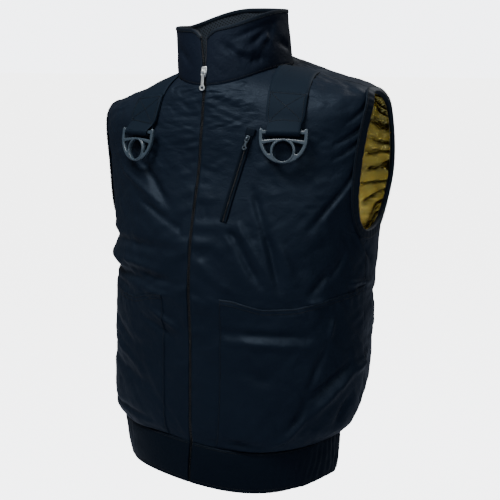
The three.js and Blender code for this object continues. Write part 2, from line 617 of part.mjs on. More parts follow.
// A strip up the zip line, between two distances from the middle and two heights off the cloth.
function zipStrip(name, side, near, far, low, high, material) {
  const loops = stations.map(({ form, at, mouth = 0 }) => {
    const corner = (across, outward) => offsetPoint(
      form, side * angleAcross(form, at, across + mouth), at, outward);
    return [corner(near, low), corner(far, low), corner(far, high), corner(near, high)];
  });
  loft(name, loops, material);
}

const tapeTop = -SHELL_CLOTH - SEAM_GAP;
const teethTop = tapeTop + SEAM_GAP + ZIP_TEETH_THICKNESS;
for (const [name, side] of sideNames) {
  const middle = 0.5 * SEAM_GAP;
  zipStrip(`zip_tape_${name}`, side, middle, ZIP_TAPE_WIDTH, tapeTop - ZIP_TAPE_THICKNESS, tapeTop, TAPE());
  zipStrip(`zip_teeth_${name}`, side, middle, ZIP_TEETH_WIDTH, tapeTop + SEAM_GAP, teethTop, TEETH());
}

// Flat outlines cut from sheet or moulded in a plane, with the thickness centred on it.
function plate(outline, thickness) {
  const geometry = new THREE.ExtrudeGeometry(outline, { depth: thickness, bevelEnabled: false });
  return geometry.translate(0, 0, -0.5 * thickness);
}

const outlineOf = (points) => new THREE.Shape(points.map(([x, y]) => new THREE.Vector2(x, y)));
const holeOf = (points) => new THREE.Path(points.map(([x, y]) => new THREE.Vector2(x, y)));
const rectangle = (x0, y0, x1, y1) => [[x0, y0], [x1, y0], [x1, y1], [x0, y1]];
const turns = (count) => spread(count, 0, 2 * Math.PI).slice(0, -1);
const arc = (count, cx, cy, radius, from, to) => spread(count, from, to).map(
  (turn) => [cx + radius * Math.cos(turn), cy + radius * Math.sin(turn)]);

function manifoldOf(geometry) {
  const bare = geometry.clone();
  for (const name of ["normal", "uv"]) bare.deleteAttribute(name);
  const merged = mergeVertices(bare, 1e-4);
  return new wasm.Manifold(new wasm.Mesh({
    numProp: 3,
    vertProperties: new Float32Array(merged.attributes.position.array),
    triVerts: new Uint32Array(merged.index.array),
  }));
}

function geometryOf(manifold) {
  const mesh = manifold.getMesh();
  const geometry = new THREE.BufferGeometry();
  geometry.setAttribute("position", new THREE.BufferAttribute(mesh.vertProperties, 3));
  geometry.setIndex(new THREE.BufferAttribute(mesh.triVerts, 1));
  return geometry;
}

// A frame of axes standing on the cloth: right, up along the cloth and out from it.
function clothFrame(origin, right, up) {
  const out = right.clone().cross(up).normalize();
  const upright = out.clone().cross(right).normalize();
  return new THREE.Matrix4().makeBasis(right.clone().normalize(), upright, out).setPosition(origin);
}

function placeMesh(mesh, frame) {
  frame.decompose(mesh.position, mesh.quaternion, mesh.scale);
}

// A zip's slider: a tapered plate with an arch over it. The pull's cross-bar lies in the arch, and the pull
// turns about it. The arch's gap is wide enough for the bar to turn, and the pull's slot for the arch. The
// pull hangs straight down, or leans out as far as what lies under it makes it.
function sliderAndPull(prefix, frame, size, under) {
  const { length, width, thickness, pullLength, pullWidth, pullThickness } = size;
  const bar = 0.8 * pullThickness;
  const archGap = Math.hypot(pullThickness, bar) + 2 * SEAM_GAP;
  const archWall = 0.5 * thickness;
  const archWidth = 0.26 * pullWidth;
  const low = 0.5 * length;
  const body = outlineOf([
    [-0.34 * width, -low], [0.34 * width, -low], [0.5 * width, 0.1 * length], [0.4 * width, low],
    [-0.4 * width, low], [-0.5 * width, 0.1 * length],
  ]);
  const plateSolid = manifoldOf(plate(body, thickness).translate(0, 0, 0.5 * thickness));
  const archHalf = 0.5 * archGap + 1.3 * archWall;
  const archTop = thickness + archGap + archWall;
  const arch = outlineOf([
    [-archHalf, 0.5 * thickness], [archHalf, 0.5 * thickness], [archHalf, archTop - archWall],
    [archHalf - archWall, archTop], [archWall - archHalf, archTop], [-archHalf, archTop - archWall],
  ]);
  arch.holes.push(holeOf(rectangle(-0.5 * archGap, thickness, 0.5 * archGap, thickness + archGap)));
  const archTurn = new THREE.Matrix4().makeBasis(
    new THREE.Vector3(0, 1, 0), new THREE.Vector3(0, 0, 1), new THREE.Vector3(1, 0, 0));
  const archSolid = manifoldOf(plate(arch, archWidth).applyMatrix4(archTurn));
  placeMesh(addMesh(`${prefix}_slider`, geometryOf(plateSolid.add(archSolid)), SILVER()), frame);

  const slotHalf = 0.5 * archWidth + 2 * SEAM_GAP;
  const slotFoot = -(Math.hypot(archHalf, 0.5 * archGap + archWall) + SEAM_GAP);
  const headHalf = slotHalf + 0.75 * pullThickness;
  const foot = -pullLength + 0.5 * pullWidth;
  const neck = 0.24 * pullWidth;
  const outline = outlineOf([
    [-headHalf, 0.5 * bar], [-headHalf, slotFoot - 0.5 * bar], [-neck, slotFoot - 2 * bar],
    [-neck, foot + 0.42 * pullWidth],
    ...arc(8, 0, foot, 0.5 * pullWidth, 0.86 * Math.PI, 2.14 * Math.PI),
    [neck, foot + 0.42 * pullWidth], [neck, slotFoot - 2 * bar], [headHalf, slotFoot - 0.5 * bar],
    [headHalf, 0.5 * bar],
  ]);
  outline.holes.push(holeOf(rectangle(-slotHalf, slotFoot, slotHalf, -0.5 * bar)));
  outline.holes.push(holeOf(arc(8, 0, foot, 0.24 * pullWidth, 0, 1.75 * Math.PI)));
  const pivot = frame.clone().multiply(new THREE.Matrix4().makeTranslation(0, 0, thickness + 0.5 * archGap));
  const toPivot = pivot.clone().invert();
  const leans = under.map((point) => point.clone().applyMatrix4(toPivot))
    .filter(({ y }) => y < slotFoot && y > -1.2 * pullLength)
    .map(({ y, z }) => Math.atan2(z + 0.5 * pullThickness + PULL_CLEARANCE, -y));
  const lean = new THREE.Matrix4().makeRotationX(-Math.max(0, ...leans));
  placeMesh(addMesh(`${prefix}_pull`, plate(outline, pullThickness), SILVER()), pivot.multiply(lean));
}

// The cloth edges beside the zip and its teeth, under the main pull.
const sliderPoint = offsetPoint(collarForm, 0, sliderRise, teethTop + SEAM_GAP);
const zipUp = collarForm(0, sliderRise + 0.1).sub(collarForm(0, sliderRise - 0.1));
const underPull = [
  ...spread(20, 0, sliderRise).map((rise) => ({ form: collarForm, at: rise })),
  ...spread(20, overShoulder(0), 1).map((level) => ({ form: bodyForm, at: level })),
].flatMap(({ form, at }) => [0, 0.5 * Math.max(ZIP_REVEAL, PULL_WIDTH)].map(
  (across) => offsetPoint(form, angleAcross(form, at, across), at, Math.max(0, teethTop))));
sliderAndPull("zip", clothFrame(sliderPoint, new THREE.Vector3(1, 0, 0), zipUp), {
  length: SLIDER_LENGTH, width: SLIDER_WIDTH, thickness: SLIDER_THICKNESS,
  pullLength: PULL_LENGTH, pullWidth: PULL_WIDTH, pullThickness: PULL_THICKNESS,
}, underPull);

// Chest pocket zip: a slanted strip sewn on the left front, with its slider near the top.
function chestZipAt(share) {
  const level = THREE.MathUtils.lerp(CHEST_ZIP_TOP_LEVEL, CHEST_ZIP_FOOT_LEVEL, share);
  const x = THREE.MathUtils.lerp(CHEST_ZIP_TOP_X, CHEST_ZIP_FOOT_X, share);
  const angle = Math.asin(x / columnAt(sections, "half", level));
  return { angle, level, point: bodyForm(angle, level), normal: normalOf(bodyForm, angle, level) };
}
const chestDown = chestZipAt(1).point.clone().sub(chestZipAt(0).point).normalize();
const chestLoops = spread(14, 0, 1).map((share) => {
  const { angle, level, point, normal } = chestZipAt(share);
  const across = chestDown.clone().cross(normal).normalize();
  const rise = foldRise(angle, level) + CHEST_ZIP_GAP;
  const corner = (side, up) => point.clone().addScaledVector(across, 0.5 * side * CHEST_ZIP_WIDTH)
    .addScaledVector(normal, rise + up);
  return [corner(-1, 0), corner(1, 0), corner(1, CHEST_ZIP_THICKNESS), corner(-1, CHEST_ZIP_THICKNESS)];
});
loft("chest_zip", chestLoops, TAPE());

const chestStart = chestZipAt(CHEST_SLIDER_SHARE);
const chestRight = chestStart.normal.clone().cross(chestDown).normalize();
const chestFrame = clothFrame(chestStart.point, chestRight, chestDown.clone().negate());
const toChest = chestFrame.clone().invert();
const chestTops = chestLoops.flatMap((corners) => corners.slice(2));
const chestFaces = chestTops.map((corner) => corner.clone().applyMatrix4(toChest));
const underSlider = chestFaces.filter(({ y }) => Math.abs(y) < CHEST_SLIDER_LENGTH + CHEST_ZIP_WIDTH);
const chestFace = Math.max(...underSlider.map(({ z }) => z));
chestFrame.multiply(new THREE.Matrix4().makeTranslation(0, 0, chestFace + SEAM_GAP));
sliderAndPull("chest", chestFrame, {
  length: CHEST_SLIDER_LENGTH, width: CHEST_SLIDER_WIDTH, thickness: CHEST_SLIDER_THICKNESS,
  pullLength: CHEST_PULL_LENGTH, pullWidth: CHEST_PULL_WIDTH, pullThickness: CHEST_PULL_THICKNESS,
}, chestTops);

// The height of the shell cloth under a place on the front of the shoulder.
function clothHeight(x, y) {
  const heading = Math.atan2(x, -y);
  const angleIn = (level) => {
    let angle = heading;
    for (let i = 0; i < 6; i += 1) {
      const skin = bodyForm(angle, level);
      angle += heading - Math.atan2(skin.x, -skin.y);
    }
    return angle;
  };
  const reach = (level) => {
    const skin = bodyForm(angleIn(level), level);
    return Math.hypot(skin.x, skin.y);
  };
  const step = 0.001;
  let level = 1;
  while (level > 0.5 && reach(level) < Math.hypot(x, y)) level -= step;
  return bodyForm(angleIn(level), level).z;
}

// The points that a taut strip touches on its way over a row of points.
function tautOver(points) {
  const taut = [];
  for (const point of points) {
    const isSlack = () => {
      const [a, b] = taut.slice(-2);
      return (b[0] - a[0]) * (point[1] - a[1]) - (b[1] - a[1]) * (point[0] - a[0]) >= 0;
    };
    while (taut.length > 1 && isSlack()) taut.pop();
    taut.push(point);
  }
  return taut;
}

// A row of points moved sideways, to the left of the way it runs.
function besideRow(row, distance) {
  return row.map(([x, z], i) => {
    const [ax, az] = row[Math.max(i - 1, 0)];
    const [bx, bz] = row[Math.min(i + 1, row.length - 1)];
    const reach = Math.hypot(bx - ax, bz - az);
    return [x - (distance * (bz - az)) / reach, z + (distance * (bx - ax)) / reach];
  });
}

// Shoulder webbing: from the shoulder seam down behind a moulded ring's bar, round it and up again in front,
// where its returned end is sewn down. Its lines run side by side, each in an upright plane along the strap.
// A plug as wide as the collar's foot cuts the straps off at the collar seam.
const loopInside = 0.5 * Math.hypot(RING_BAR_HEIGHT, RING_THICKNESS) + RING_BAR_CLEARANCE;
const loopOutside = loopInside + WEBBING_THICKNESS;
const returnedFace = 2 * WEBBING_THICKNESS + SEAM_GAP;
const PLUG_CORNER_COUNT = 36;
const collarPlug = manifoldOf(plate(outlineOf(turns(PLUG_CORNER_COUNT).map((turn) => [
  (0.5 * NECK_WIDTH + STRAP_GAP) * Math.cos(turn), (NECK_FRONT_DEPTH + STRAP_GAP) * Math.sin(turn),
])), 2 * NECK_WIDTH));

// The height of a taut row at a distance along it.
function heightOn(row, run) {
  const i = Math.max(1, row.findIndex(([x]) => x >= run));
  const [[ax, az], [bx, bz]] = [row[i - 1], row[i]];
  return az + ((bz - az) * (run - ax)) / (bx - ax);
}

function strapAndRing(name, side, turn, seamX, barFall) {
  const across = new THREE.Vector3(Math.cos(turn), side * Math.sin(turn), 0);
  const ahead = new THREE.Vector3(side * Math.sin(turn), -Math.cos(turn), 0);
  const up = new THREE.Vector3(0, 0, 1);
  const seam = new THREE.Vector3(side * seamX, 0, 0);
  const clothUnder = (share, run) => {
    const place = seam.clone().addScaledVector(ahead, run).addScaledVector(across, share * WEBBING_WIDTH);
    return clothHeight(place.x, place.y);
  };
  const lines = spread(WEBBING_LINE_COUNT - 1, -0.5, 0.5);
  let chestRun = 0;
  while (lines.some((share) => clothUnder(share, chestRun) > -barFall)) chestRun += 0.5;
  const barRun = chestRun + loopOutside + RING_STANDOFF;
  const stationRuns = spread(11, 0, chestRun - 2).map((run) => Math.max(run, 0.01));

  const facesOf = (share) => {
    const sampled = spread(24, 0, chestRun - 1).map((run) => [run, clothUnder(share, run)]);
    const loopBack = [barRun - loopOutside, -barFall];
    const taut = tautOver([...besideRow(sampled, STRAP_GAP), loopBack]);
    const row = stationRuns.map((run) => [run, heightOn(taut, run)]);
    let stepAt = row.length - 1;
    for (let sewn = 0; sewn < WEBBING_RETURN; stepAt -= 1) {
      sewn += Math.hypot(row[stepAt][0] - row[stepAt - 1][0], row[stepAt][1] - row[stepAt - 1][1]);
    }
    const round = (radius) => arc(7, barRun, -barFall, radius, -Math.PI, 0.1 * Math.PI);
    const returned = (height) => besideRow(row, height).slice(stepAt).reverse();
    const returnedBack = returned(returnedFace - WEBBING_THICKNESS);
    return {
      outer: [...row, ...round(loopOutside), ...returned(returnedFace)],
      inner: [...besideRow(row, WEBBING_THICKNESS), ...round(loopInside), ...returnedBack],
    };
  };
  const faces = lines.map(facesOf);
  const length = Math.min(...faces.map(({ outer }) => outer.length));
  const gridOf = (face) => spread(length - 1, 0, length - 1).map((i) => lines.map((share, k) => {
    const [run, z] = faces[k][face][i];
    return seam.clone().addScaledVector(ahead, run).addScaledVector(across, share * WEBBING_WIDTH).setZ(z);
  }));
  const strap = wallBetween(`strap_${name}`, gridOf("outer"), gridOf("inner"), WEBBING());
  strap.geometry = geometryOf(manifoldOf(strap.geometry).subtract(collarPlug));
  strap.geometry.computeVertexNormals();

  const bar = seam.clone().addScaledVector(ahead, barRun).addScaledVector(up, -barFall);
  const hang = new THREE.Matrix4().makeRotationAxis(across, -RING_TILT_DEG * DEG);
  const ringFrame = new THREE.Matrix4().makeBasis(across, up, across.clone().cross(up)).premultiply(hang);
  placeMesh(addMesh(`ring_${name}`, ringPlate(), MOULDING()), ringFrame.setPosition(bar));
}

// A ring: a bar with an ear at each end, a bow below it, a rib under the slot and an eye in the middle.
// Across and up are measured from the middle of the bar.
const EYE_CORNER_COUNT = 14;
function ringPlate() {
  const half = 0.5 * RING_WIDTH;
  const barTop = 0.5 * RING_BAR_HEIGHT;
  const inside = half - RING_BOW;
  const bowTop = -0.9 * RING_SLOT;
  const bowFall = RING_DROP + bowTop;
  const onBow = (inset) => (turn) => [
    (half - inset) * Math.cos(turn), bowTop - (bowFall - inset) * Math.sin(turn),
  ];
  const eyeZ = -RING_DROP + 0.6 * RING_BOW + 0.5 * RING_EYE_DIAMETER;
  const eyeOuter = 0.5 * RING_EYE_DIAMETER + RING_RIB;
  const ear = [
    [half, 0.72 * RING_EAR_RISE], [half - 0.24 * RING_BOW, RING_EAR_RISE],
    [inside + 0.12 * RING_BOW, RING_EAR_RISE], [inside - 0.2 * RING_BOW, barTop],
  ];
  const farEar = ear.map(([x, z]) => [-x, z]).reverse();
  const outline = outlineOf([...ear, ...farEar, ...spread(14, Math.PI, 0).map(onBow(0))]);
  const ribTop = [
    [inside, -1.25 * RING_SLOT], [0.5 * inside, -1.08 * RING_SLOT], [0, -RING_SLOT],
    [-0.5 * inside, -1.08 * RING_SLOT], [-inside, -1.25 * RING_SLOT],
  ];
  outline.holes.push(holeOf([[-inside, -barTop], [inside, -barTop], ...ribTop]));
  const eye = turns(EYE_CORNER_COUNT).map((turn) => [Math.cos(turn), Math.sin(turn)]);
  outline.holes.push(holeOf(eye.map(([x, z]) => [
    0.5 * RING_EYE_DIAMETER * x, eyeZ + 0.5 * RING_EYE_DIAMETER * z,
  ])));
  const window = [
    ...arc(4, 0, eyeZ, eyeOuter, 0.26 * Math.PI, -0.07 * Math.PI), ...spread(4, 0.26, 0.09).map(
      (share) => onBow(RING_BOW)(share * Math.PI)),
  ];
  for (const mirror of [1, -1]) outline.holes.push(holeOf(window.map(([x, z]) => [mirror * x, z])));
  return plate(outline, RING_THICKNESS);
}

strapAndRing("left", 1, STRAP_LEFT_TURN_DEG * DEG, STRAP_LEFT_X, RING_BAR_FALL);
strapAndRing("right", -1, STRAP_RIGHT_TURN_DEG * DEG, STRAP_RIGHT_X, RING_BAR_FALL_RIGHT);

export default group;
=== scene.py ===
"""The looks of a cooling vest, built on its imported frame. Sizes are in millimetres until a mesh is made."""

import math

import bpy
import numpy as np
from mathutils import Matrix, Vector


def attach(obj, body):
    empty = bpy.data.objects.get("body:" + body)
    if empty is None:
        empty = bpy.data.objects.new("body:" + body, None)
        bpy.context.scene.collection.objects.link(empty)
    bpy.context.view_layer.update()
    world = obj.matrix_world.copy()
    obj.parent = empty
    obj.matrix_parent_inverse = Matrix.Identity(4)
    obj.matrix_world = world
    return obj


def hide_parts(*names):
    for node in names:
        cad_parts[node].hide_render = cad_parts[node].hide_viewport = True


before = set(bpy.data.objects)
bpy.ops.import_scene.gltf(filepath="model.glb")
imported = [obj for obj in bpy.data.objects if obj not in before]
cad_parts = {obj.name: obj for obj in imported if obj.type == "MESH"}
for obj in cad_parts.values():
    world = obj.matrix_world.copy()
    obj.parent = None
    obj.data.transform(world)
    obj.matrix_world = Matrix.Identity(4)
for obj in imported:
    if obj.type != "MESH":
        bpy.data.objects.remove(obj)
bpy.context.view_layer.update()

# Shell cloth: two fronts and a back of thin navy nylon, cut to the body and sewn at the shoulders and sides. Its
# form follows a short table of sections, and folds, puckers and fine crumpling are raised on it.
MM = 0.001
DEG = math.pi / 180
CLOTH_THICKNESS = 1.5
BODY_LENGTH = 604
CHEST_WIDTH = 434
FRONT_DEPTH, BACK_DEPTH = 143, 168
CORNER_FULLNESS = 0.13
SHOULDER_WIDTH, SHOULDER_DROP, SHOULDER_DEPTH = 470, 34, 104
RIGHT_SHOULDER_DROP, RIGHT_WAIST_PULL = 27, 14
NECK_WIDTH, NECK_FRONT_DEPTH, NECK_BACK_DEPTH = 172, 94, 70
NECK_FRONT_DROP, NECK_BACK_RISE = 28, 28
HEM_WIDTH, HEM_FRONT_DEPTH, HEM_BACK_DEPTH = 338, 137, 76
HEM_BACK_LIFT, HEM_BAND_HEIGHT, HEM_SHIFT_RIGHT = 5, 62, 4
HEM_DIP, HEM_DIP_DEG, HEM_DIP_LEVEL = 16, 35, 0.14
ARMHOLE_HEIGHT = 202
UNDERARM_LEVEL, ARMHOLE_TOP_LEVEL = 0.46, 0.775
ARMHOLE_FRONT_DEG, ARMHOLE_BACK_DEG = 17, 28
UNDERARM_Z = -SHOULDER_DROP - ARMHOLE_HEIGHT
HEM_SEAM_Z = HEM_BAND_HEIGHT - BODY_LENGTH


def along_skirt(share):
    return UNDERARM_Z + share * (HEM_SEAM_Z - UNDERARM_Z)


def along_armhole(share):
    return -SHOULDER_DROP - share * ARMHOLE_HEIGHT


SECTION_COLUMNS = ("level", "half", "front", "back", "full", "front_z", "side_z", "back_z", "drop", "pull")
SECTION_ROWS = (
    (0, 0.5 * HEM_WIDTH, HEM_FRONT_DEPTH, 1.09 * HEM_BACK_DEPTH, 0,
     HEM_SEAM_Z, HEM_SEAM_Z, HEM_SEAM_Z + HEM_BACK_LIFT, 0, -1.7),
    (0.05, 0.45 * CHEST_WIDTH, 0.985 * FRONT_DEPTH, 0.68 * BACK_DEPTH, 0.02,
     along_skirt(0.94), along_skirt(0.92), along_skirt(0.92), 0, -0.8),
    (0.14, 0.482 * CHEST_WIDTH, 0.98 * FRONT_DEPTH, 0.84 * BACK_DEPTH, 0.04,
     along_skirt(0.74), along_skirt(0.72), along_skirt(0.72), 0, 0.3),
    (0.24, 0.488 * CHEST_WIDTH, 0.975 * FRONT_DEPTH, 0.94 * BACK_DEPTH, 0.04,
     along_skirt(0.51), along_skirt(0.5), along_skirt(0.5), 0, 0.7),
    (0.36, 0.493 * CHEST_WIDTH, FRONT_DEPTH, BACK_DEPTH, 0.04,
     along_skirt(0.25), along_skirt(0.24), along_skirt(0.24), 0, 1),
    (0.46, 0.5 * CHEST_WIDTH, 0.95 * FRONT_DEPTH, 0.985 * BACK_DEPTH, 0.6 * CORNER_FULLNESS,
     along_skirt(0.02), UNDERARM_Z, UNDERARM_Z, 0.1, 0.65),
    (0.61, 0.49 * SHOULDER_WIDTH, 0.79 * FRONT_DEPTH, 0.9 * BACK_DEPTH, CORNER_FULLNESS,
     along_armhole(0.575), along_armhole(0.54), along_armhole(0.52), 0.5, 0.7),
    (0.745, 0.5 * SHOULDER_WIDTH, 1.02 * SHOULDER_DEPTH, 1.28 * SHOULDER_DEPTH, 0.6 * CORNER_FULLNESS,
     along_armhole(0.31), along_armhole(0.11), along_armhole(0.07), 0.95, 0.5),
    (0.785, 0.472 * SHOULDER_WIDTH, 0.995 * SHOULDER_DEPTH, 1.2 * SHOULDER_DEPTH, 0.3 * CORNER_FULLNESS,
     -1.1 * NECK_FRONT_DROP - 1.6 * SHOULDER_DROP, -0.93 * SHOULDER_DROP, -0.65 * SHOULDER_DROP, 1, 0.4),
    (0.915, 0.297 * SHOULDER_WIDTH, 0.95 * SHOULDER_DEPTH, 0.9 * SHOULDER_DEPTH, 0,
     -1.1 * NECK_FRONT_DROP - 0.45 * SHOULDER_DROP, -0.36 * SHOULDER_DROP, 0.45 * NECK_BACK_RISE, 0.65, 0),
    (1, 0.5 * NECK_WIDTH, NECK_FRONT_DEPTH, NECK_BACK_DEPTH, 0, -NECK_FRONT_DROP, 0, NECK_BACK_RISE, 0.35, 0),
)
sections = dict(zip(SECTION_COLUMNS, np.array(SECTION_ROWS, float).T))


def column_at(name, level):
    """A smooth curve through one column of the table, with slopes taken from each row's neighbours."""
    levels, values = sections["level"], sections[name]
    last = len(levels) - 1
    below = np.maximum(np.arange(last + 1) - 1, 0)
    above = np.minimum(np.arange(last + 1) + 1, last)
    slopes = (values[above] - values[below]) / (levels[above] - levels[below])
    i = np.clip(np.searchsorted(levels, level, side="left") - 1, 0, last - 1)
    span = levels[i + 1] - levels[i]
    t = (level - levels[i]) / span
    rise = values[i + 1] - values[i]
    curve = values[i] + rise * t * t * (3 - 2 * t)
    return curve + span * (slopes[i] * t * (1 - t) ** 2 - slopes[i + 1] * t * t * (1 - t))


def hem_dip(angle):
    return HEM_DIP * np.maximum(0, np.cos(angle - HEM_DIP_DEG * DEG)) ** 4


def grids(*values):
    """Numbers, rows or columns as float grids of one shape."""
    return np.broadcast_arrays(*[np.asarray(value, float) for value in values])


def body_form(angle, level):
    """A point of the body before folds. Angle 0 is the front middle, a quarter turn is the wearer's left."""
    angle, level = grids(angle, level)
    s, c = np.sin(angle), np.cos(angle)
    behind = c < 0
    full = np.where(behind, 1 + column_at("full", level) * np.sin(2 * angle) ** 2, 1)
    depth = np.where(behind, column_at("back", level), column_at("front", level))
    end_z = np.where(behind, column_at("back_z", level), column_at("front_z", level))
    right = np.where(s < 0, s * s, 0)
    x = s * column_at("half", level) * full + right * column_at("pull", level) * RIGHT_WAIST_PULL
    z = column_at("side_z", level) * s * s + end_z * c * c - right * column_at("drop", level) * RIGHT_SHOULDER_DROP
    dip = hem_dip(angle) * np.maximum(0, 1 - level / HEM_DIP_LEVEL) ** 2
    return np.stack([x, -c * depth * full, z - dip], -1)


def unit(vectors):
    return vectors / (np.linalg.norm(vectors, axis=-1, keepdims=True) + 1e-12)


def normal_of(form, angle, at):
    step = 1e-4
    across = form(angle + step, at) - form(angle - step, at)
    up = form(angle, np.minimum(at + step, 1)) - form(angle, np.maximum(at - step, 0))
    return unit(np.cross(across, up))


def raised(form, angle, at, rise):
    """Points of a form, each pushed out along its normal."""
    angle, at, rise = np.broadcast_arrays(angle, at, rise)
    return form(angle, at) + normal_of(form, angle, at) * rise[..., None]


def angle_across(form, at, across):
    """The angle at which a form is so many millimetres to the side of its front middle."""
    step = 0.01
    return np.arcsin(across * 2 * step / (form(step, at)[..., 0] - form(-step, at)[..., 0]))


def placed(name, data):
    made = bpy.data.objects.new(name, data)
    bpy.context.collection.objects.link(made)
    return made


def fit(piece, body, node_name):
    """Says which body a piece moves with, and hides the imported solid that it stands in for."""
    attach(piece, body)
    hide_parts(node_name)


def grid_piece(name, points, uv, material):
    """A sheet of quads through a grid of points, smooth, with a UV map in millimetres of cloth."""
    rows, columns = points.shape[:2]
    index = np.arange(rows * columns).reshape(rows, columns)
    quads = np.stack([index[:-1, :-1], index[:-1, 1:], index[1:, 1:], index[1:, :-1]], -1).reshape(-1, 4)
    mesh = bpy.data.meshes.new(name)
    mesh.from_pydata((points.reshape(-1, 3) * MM).tolist(), [], quads.tolist())
    layer = mesh.uv_layers.new(name="cloth")
    layer.data.foreach_set("uv", uv.reshape(-1, 2)[quads.ravel()].astype(np.float32).ravel())
    mesh.polygons.foreach_set("use_smooth", np.ones(len(quads), bool))
    mesh.materials.append(material)
    return placed(name, mesh)


def cloth_sheet(name, form, angle, at, rise, uv, material, lip=CLOTH_THICKNESS):
    """A sheet over a form with its edges turned in by the cloth's thickness."""
    angle, at, rise = np.broadcast_arrays(angle, at, rise)
    edges = [np.pad(values, 1, mode="edge") for values in (angle, at, rise)]
    turned = edges[2].copy()
    turned[[0, -1], :] -= lip
    turned[1:-1, [0, -1]] -= lip
    uv = np.pad(uv, ((1, 1), (1, 1), (0, 0)), mode="edge")
    return grid_piece(name, raised(form, edges[0], edges[1], turned), uv, material)


def smooth_step(t):
    t = np.clip(t, 0, 1)
    return t * t * (3 - 2 * t)


def noise_at(u, v, seed):
    """Smooth noise from 0 to 1 over a repeating lattice of seeded heights, one unit apart."""
    size = 64
    lattice = np.random.default_rng(seed).random((size, size))
    column, row = np.floor(u).astype(int), np.floor(v).astype(int)
    fu, fv = smooth_step(u - column), smooth_step(v - row)
    pick = lambda r, c: lattice[r % size, c % size]
    low = pick(row, column) * (1 - fu) + pick(row, column + 1) * fu
    high = pick(row + 1, column) * (1 - fu) + pick(row + 1, column + 1) * fu
    return low * (1 - fv) + high * fv


def wrinkles(u, v, turn_deg, length, width, seed):
    """Long soft ridges that run at a turn from the cloth's width, from -1 to 1."""
    turn = turn_deg * DEG
    along = u * math.cos(turn) + v * math.sin(turn)
    across = v * math.cos(turn) - u * math.sin(turn)
    bend = 0.8 * noise_at(u / length + 7, v / length + 3, seed + 1)
    return 2 * noise_at(along / length, across / width + 2 * bend, seed) - 1


# Places on the cloth are in millimetres round from the front middle and up from the hem seam.
MM_PER_DEG = 3.385
MM_PER_LEVEL = 669.1


def cloth_uv(angle, level):
    angle, level = np.broadcast_arrays(angle, level)
    return angle / DEG * MM_PER_DEG, level * MM_PER_LEVEL


def map_of(across, along):
    """A UV map in millimetres of cloth from two measures that may be rows, columns or grids."""
    return np.stack(np.broadcast_arrays(across, along), -1)


FOLD_COLUMNS = ("from_deg", "from_level", "to_deg", "to_level", "breadth", "rise", "lean")
FRONT_FOLDS = (
    (-34, 0.65, -11, 0.51, 8, -3.4, 0.7), (-30, 0.53, -5, 0.465, 6, -2.6, 0.7), (-42, 0.60, -18, 0.53, 6, 2.2, 0.4),
    (-85, 0.425, -8, 0.425, 8, -4.0, 0.5), (-84, 0.395, -16, 0.380, 8, 5.4, 0.4),
    (-84, 0.368, -20, 0.352, 7, -4.6, 0.4), (-50, 0.39, -7, 0.355, 6, -3.0, 0.5),
    (-24, 0.335, -9, 0.33, 5, 2.4, 0.4), (-20, 0.29, -5, 0.25, 5, 2.4, 0.7), (-26, 0.275, -8, 0.235, 5, -2.2, 0.3),
    (13, 0.495, 19, 0.445, 6, -3.2, 0.9), (19, 0.445, 30, 0.365, 6, -3.4, 0.9), (17, 0.505, 33, 0.38, 5, 2.2, 0.2),
    (23, 0.56, 29, 0.49, 6, -2.8, 0.9), (29, 0.49, 38, 0.355, 6.5, -3.8, 0.9), (36, 0.45, 44, 0.37, 7, 2.6, 0.5),
    (80, 0.765, 62, 0.725, 4.5, -2.2, 0.7), (79, 0.725, 56, 0.675, 5, -2.8, 0.8), (78, 0.69, 56, 0.64, 5, -2.4, 0.8),
    (74, 0.65, 66, 0.58, 6, -2.8, 0.7), (66, 0.58, 50, 0.48, 7, -3.2, 0.7), (72, 0.60, 56, 0.50, 6, 2.2, 0.4),
    (62, 0.395, 52, 0.347, 6, -2.8, 0.6), (52, 0.325, 61, 0.327, 4, 2.6, 0.3), (82, 0.45, 96, 0.40, 6, -3.6, 0.6),
    (78, 0.455, 90, 0.405, 5, 2.2, 0.6), (72, 0.36, 100, 0.352, 4.5, 2.4, 0.5), (70, 0.42, 62, 0.375, 6, -2.2, 0.4),
    (17, 0.262, 51, 0.255, 8, -3.2, -0.6), (17, 0.240, 52, 0.231, 7, 2.4, 0.2), (65, 0.29, 62, 0.245, 5, 2.4, 0.5),
    (61, 0.235, 51, 0.13, 6, -2.8, 0.4), (98, 0.195, 78, 0.168, 8, 3.6, 0.8), (78, 0.168, 52, 0.078, 9, 3.8, 0.8),
    (52, 0.078, 43, 0.03, 8, 3.0, 0.8), (76, 0.185, 52, 0.115, 7, -3.8, 0.4), (52, 0.115, 46, 0.06, 7, -3.2, 0.4),
    (79, 0.115, 72, 0.06, 8, -3.4, 0.4), (18, 0.03, 34, 0.022, 6, -2.8, -0.6), (22, 0.17, 38, 0.15, 9, -1.8, 0.5),
    (-60, 0.16, -22, 0.12, 8, -2.6, 0.4), (-65, 0.06, -22, 0.05, 6, -2.8, -0.5), (-62, 0.25, -30, 0.20, 8, -2.6, 0.6),
    (-56, 0.20, -30, 0.155, 7, 2.2, 0.5), (-62, 0.34, -34, 0.32, 6, -2.4, 0.5),
)
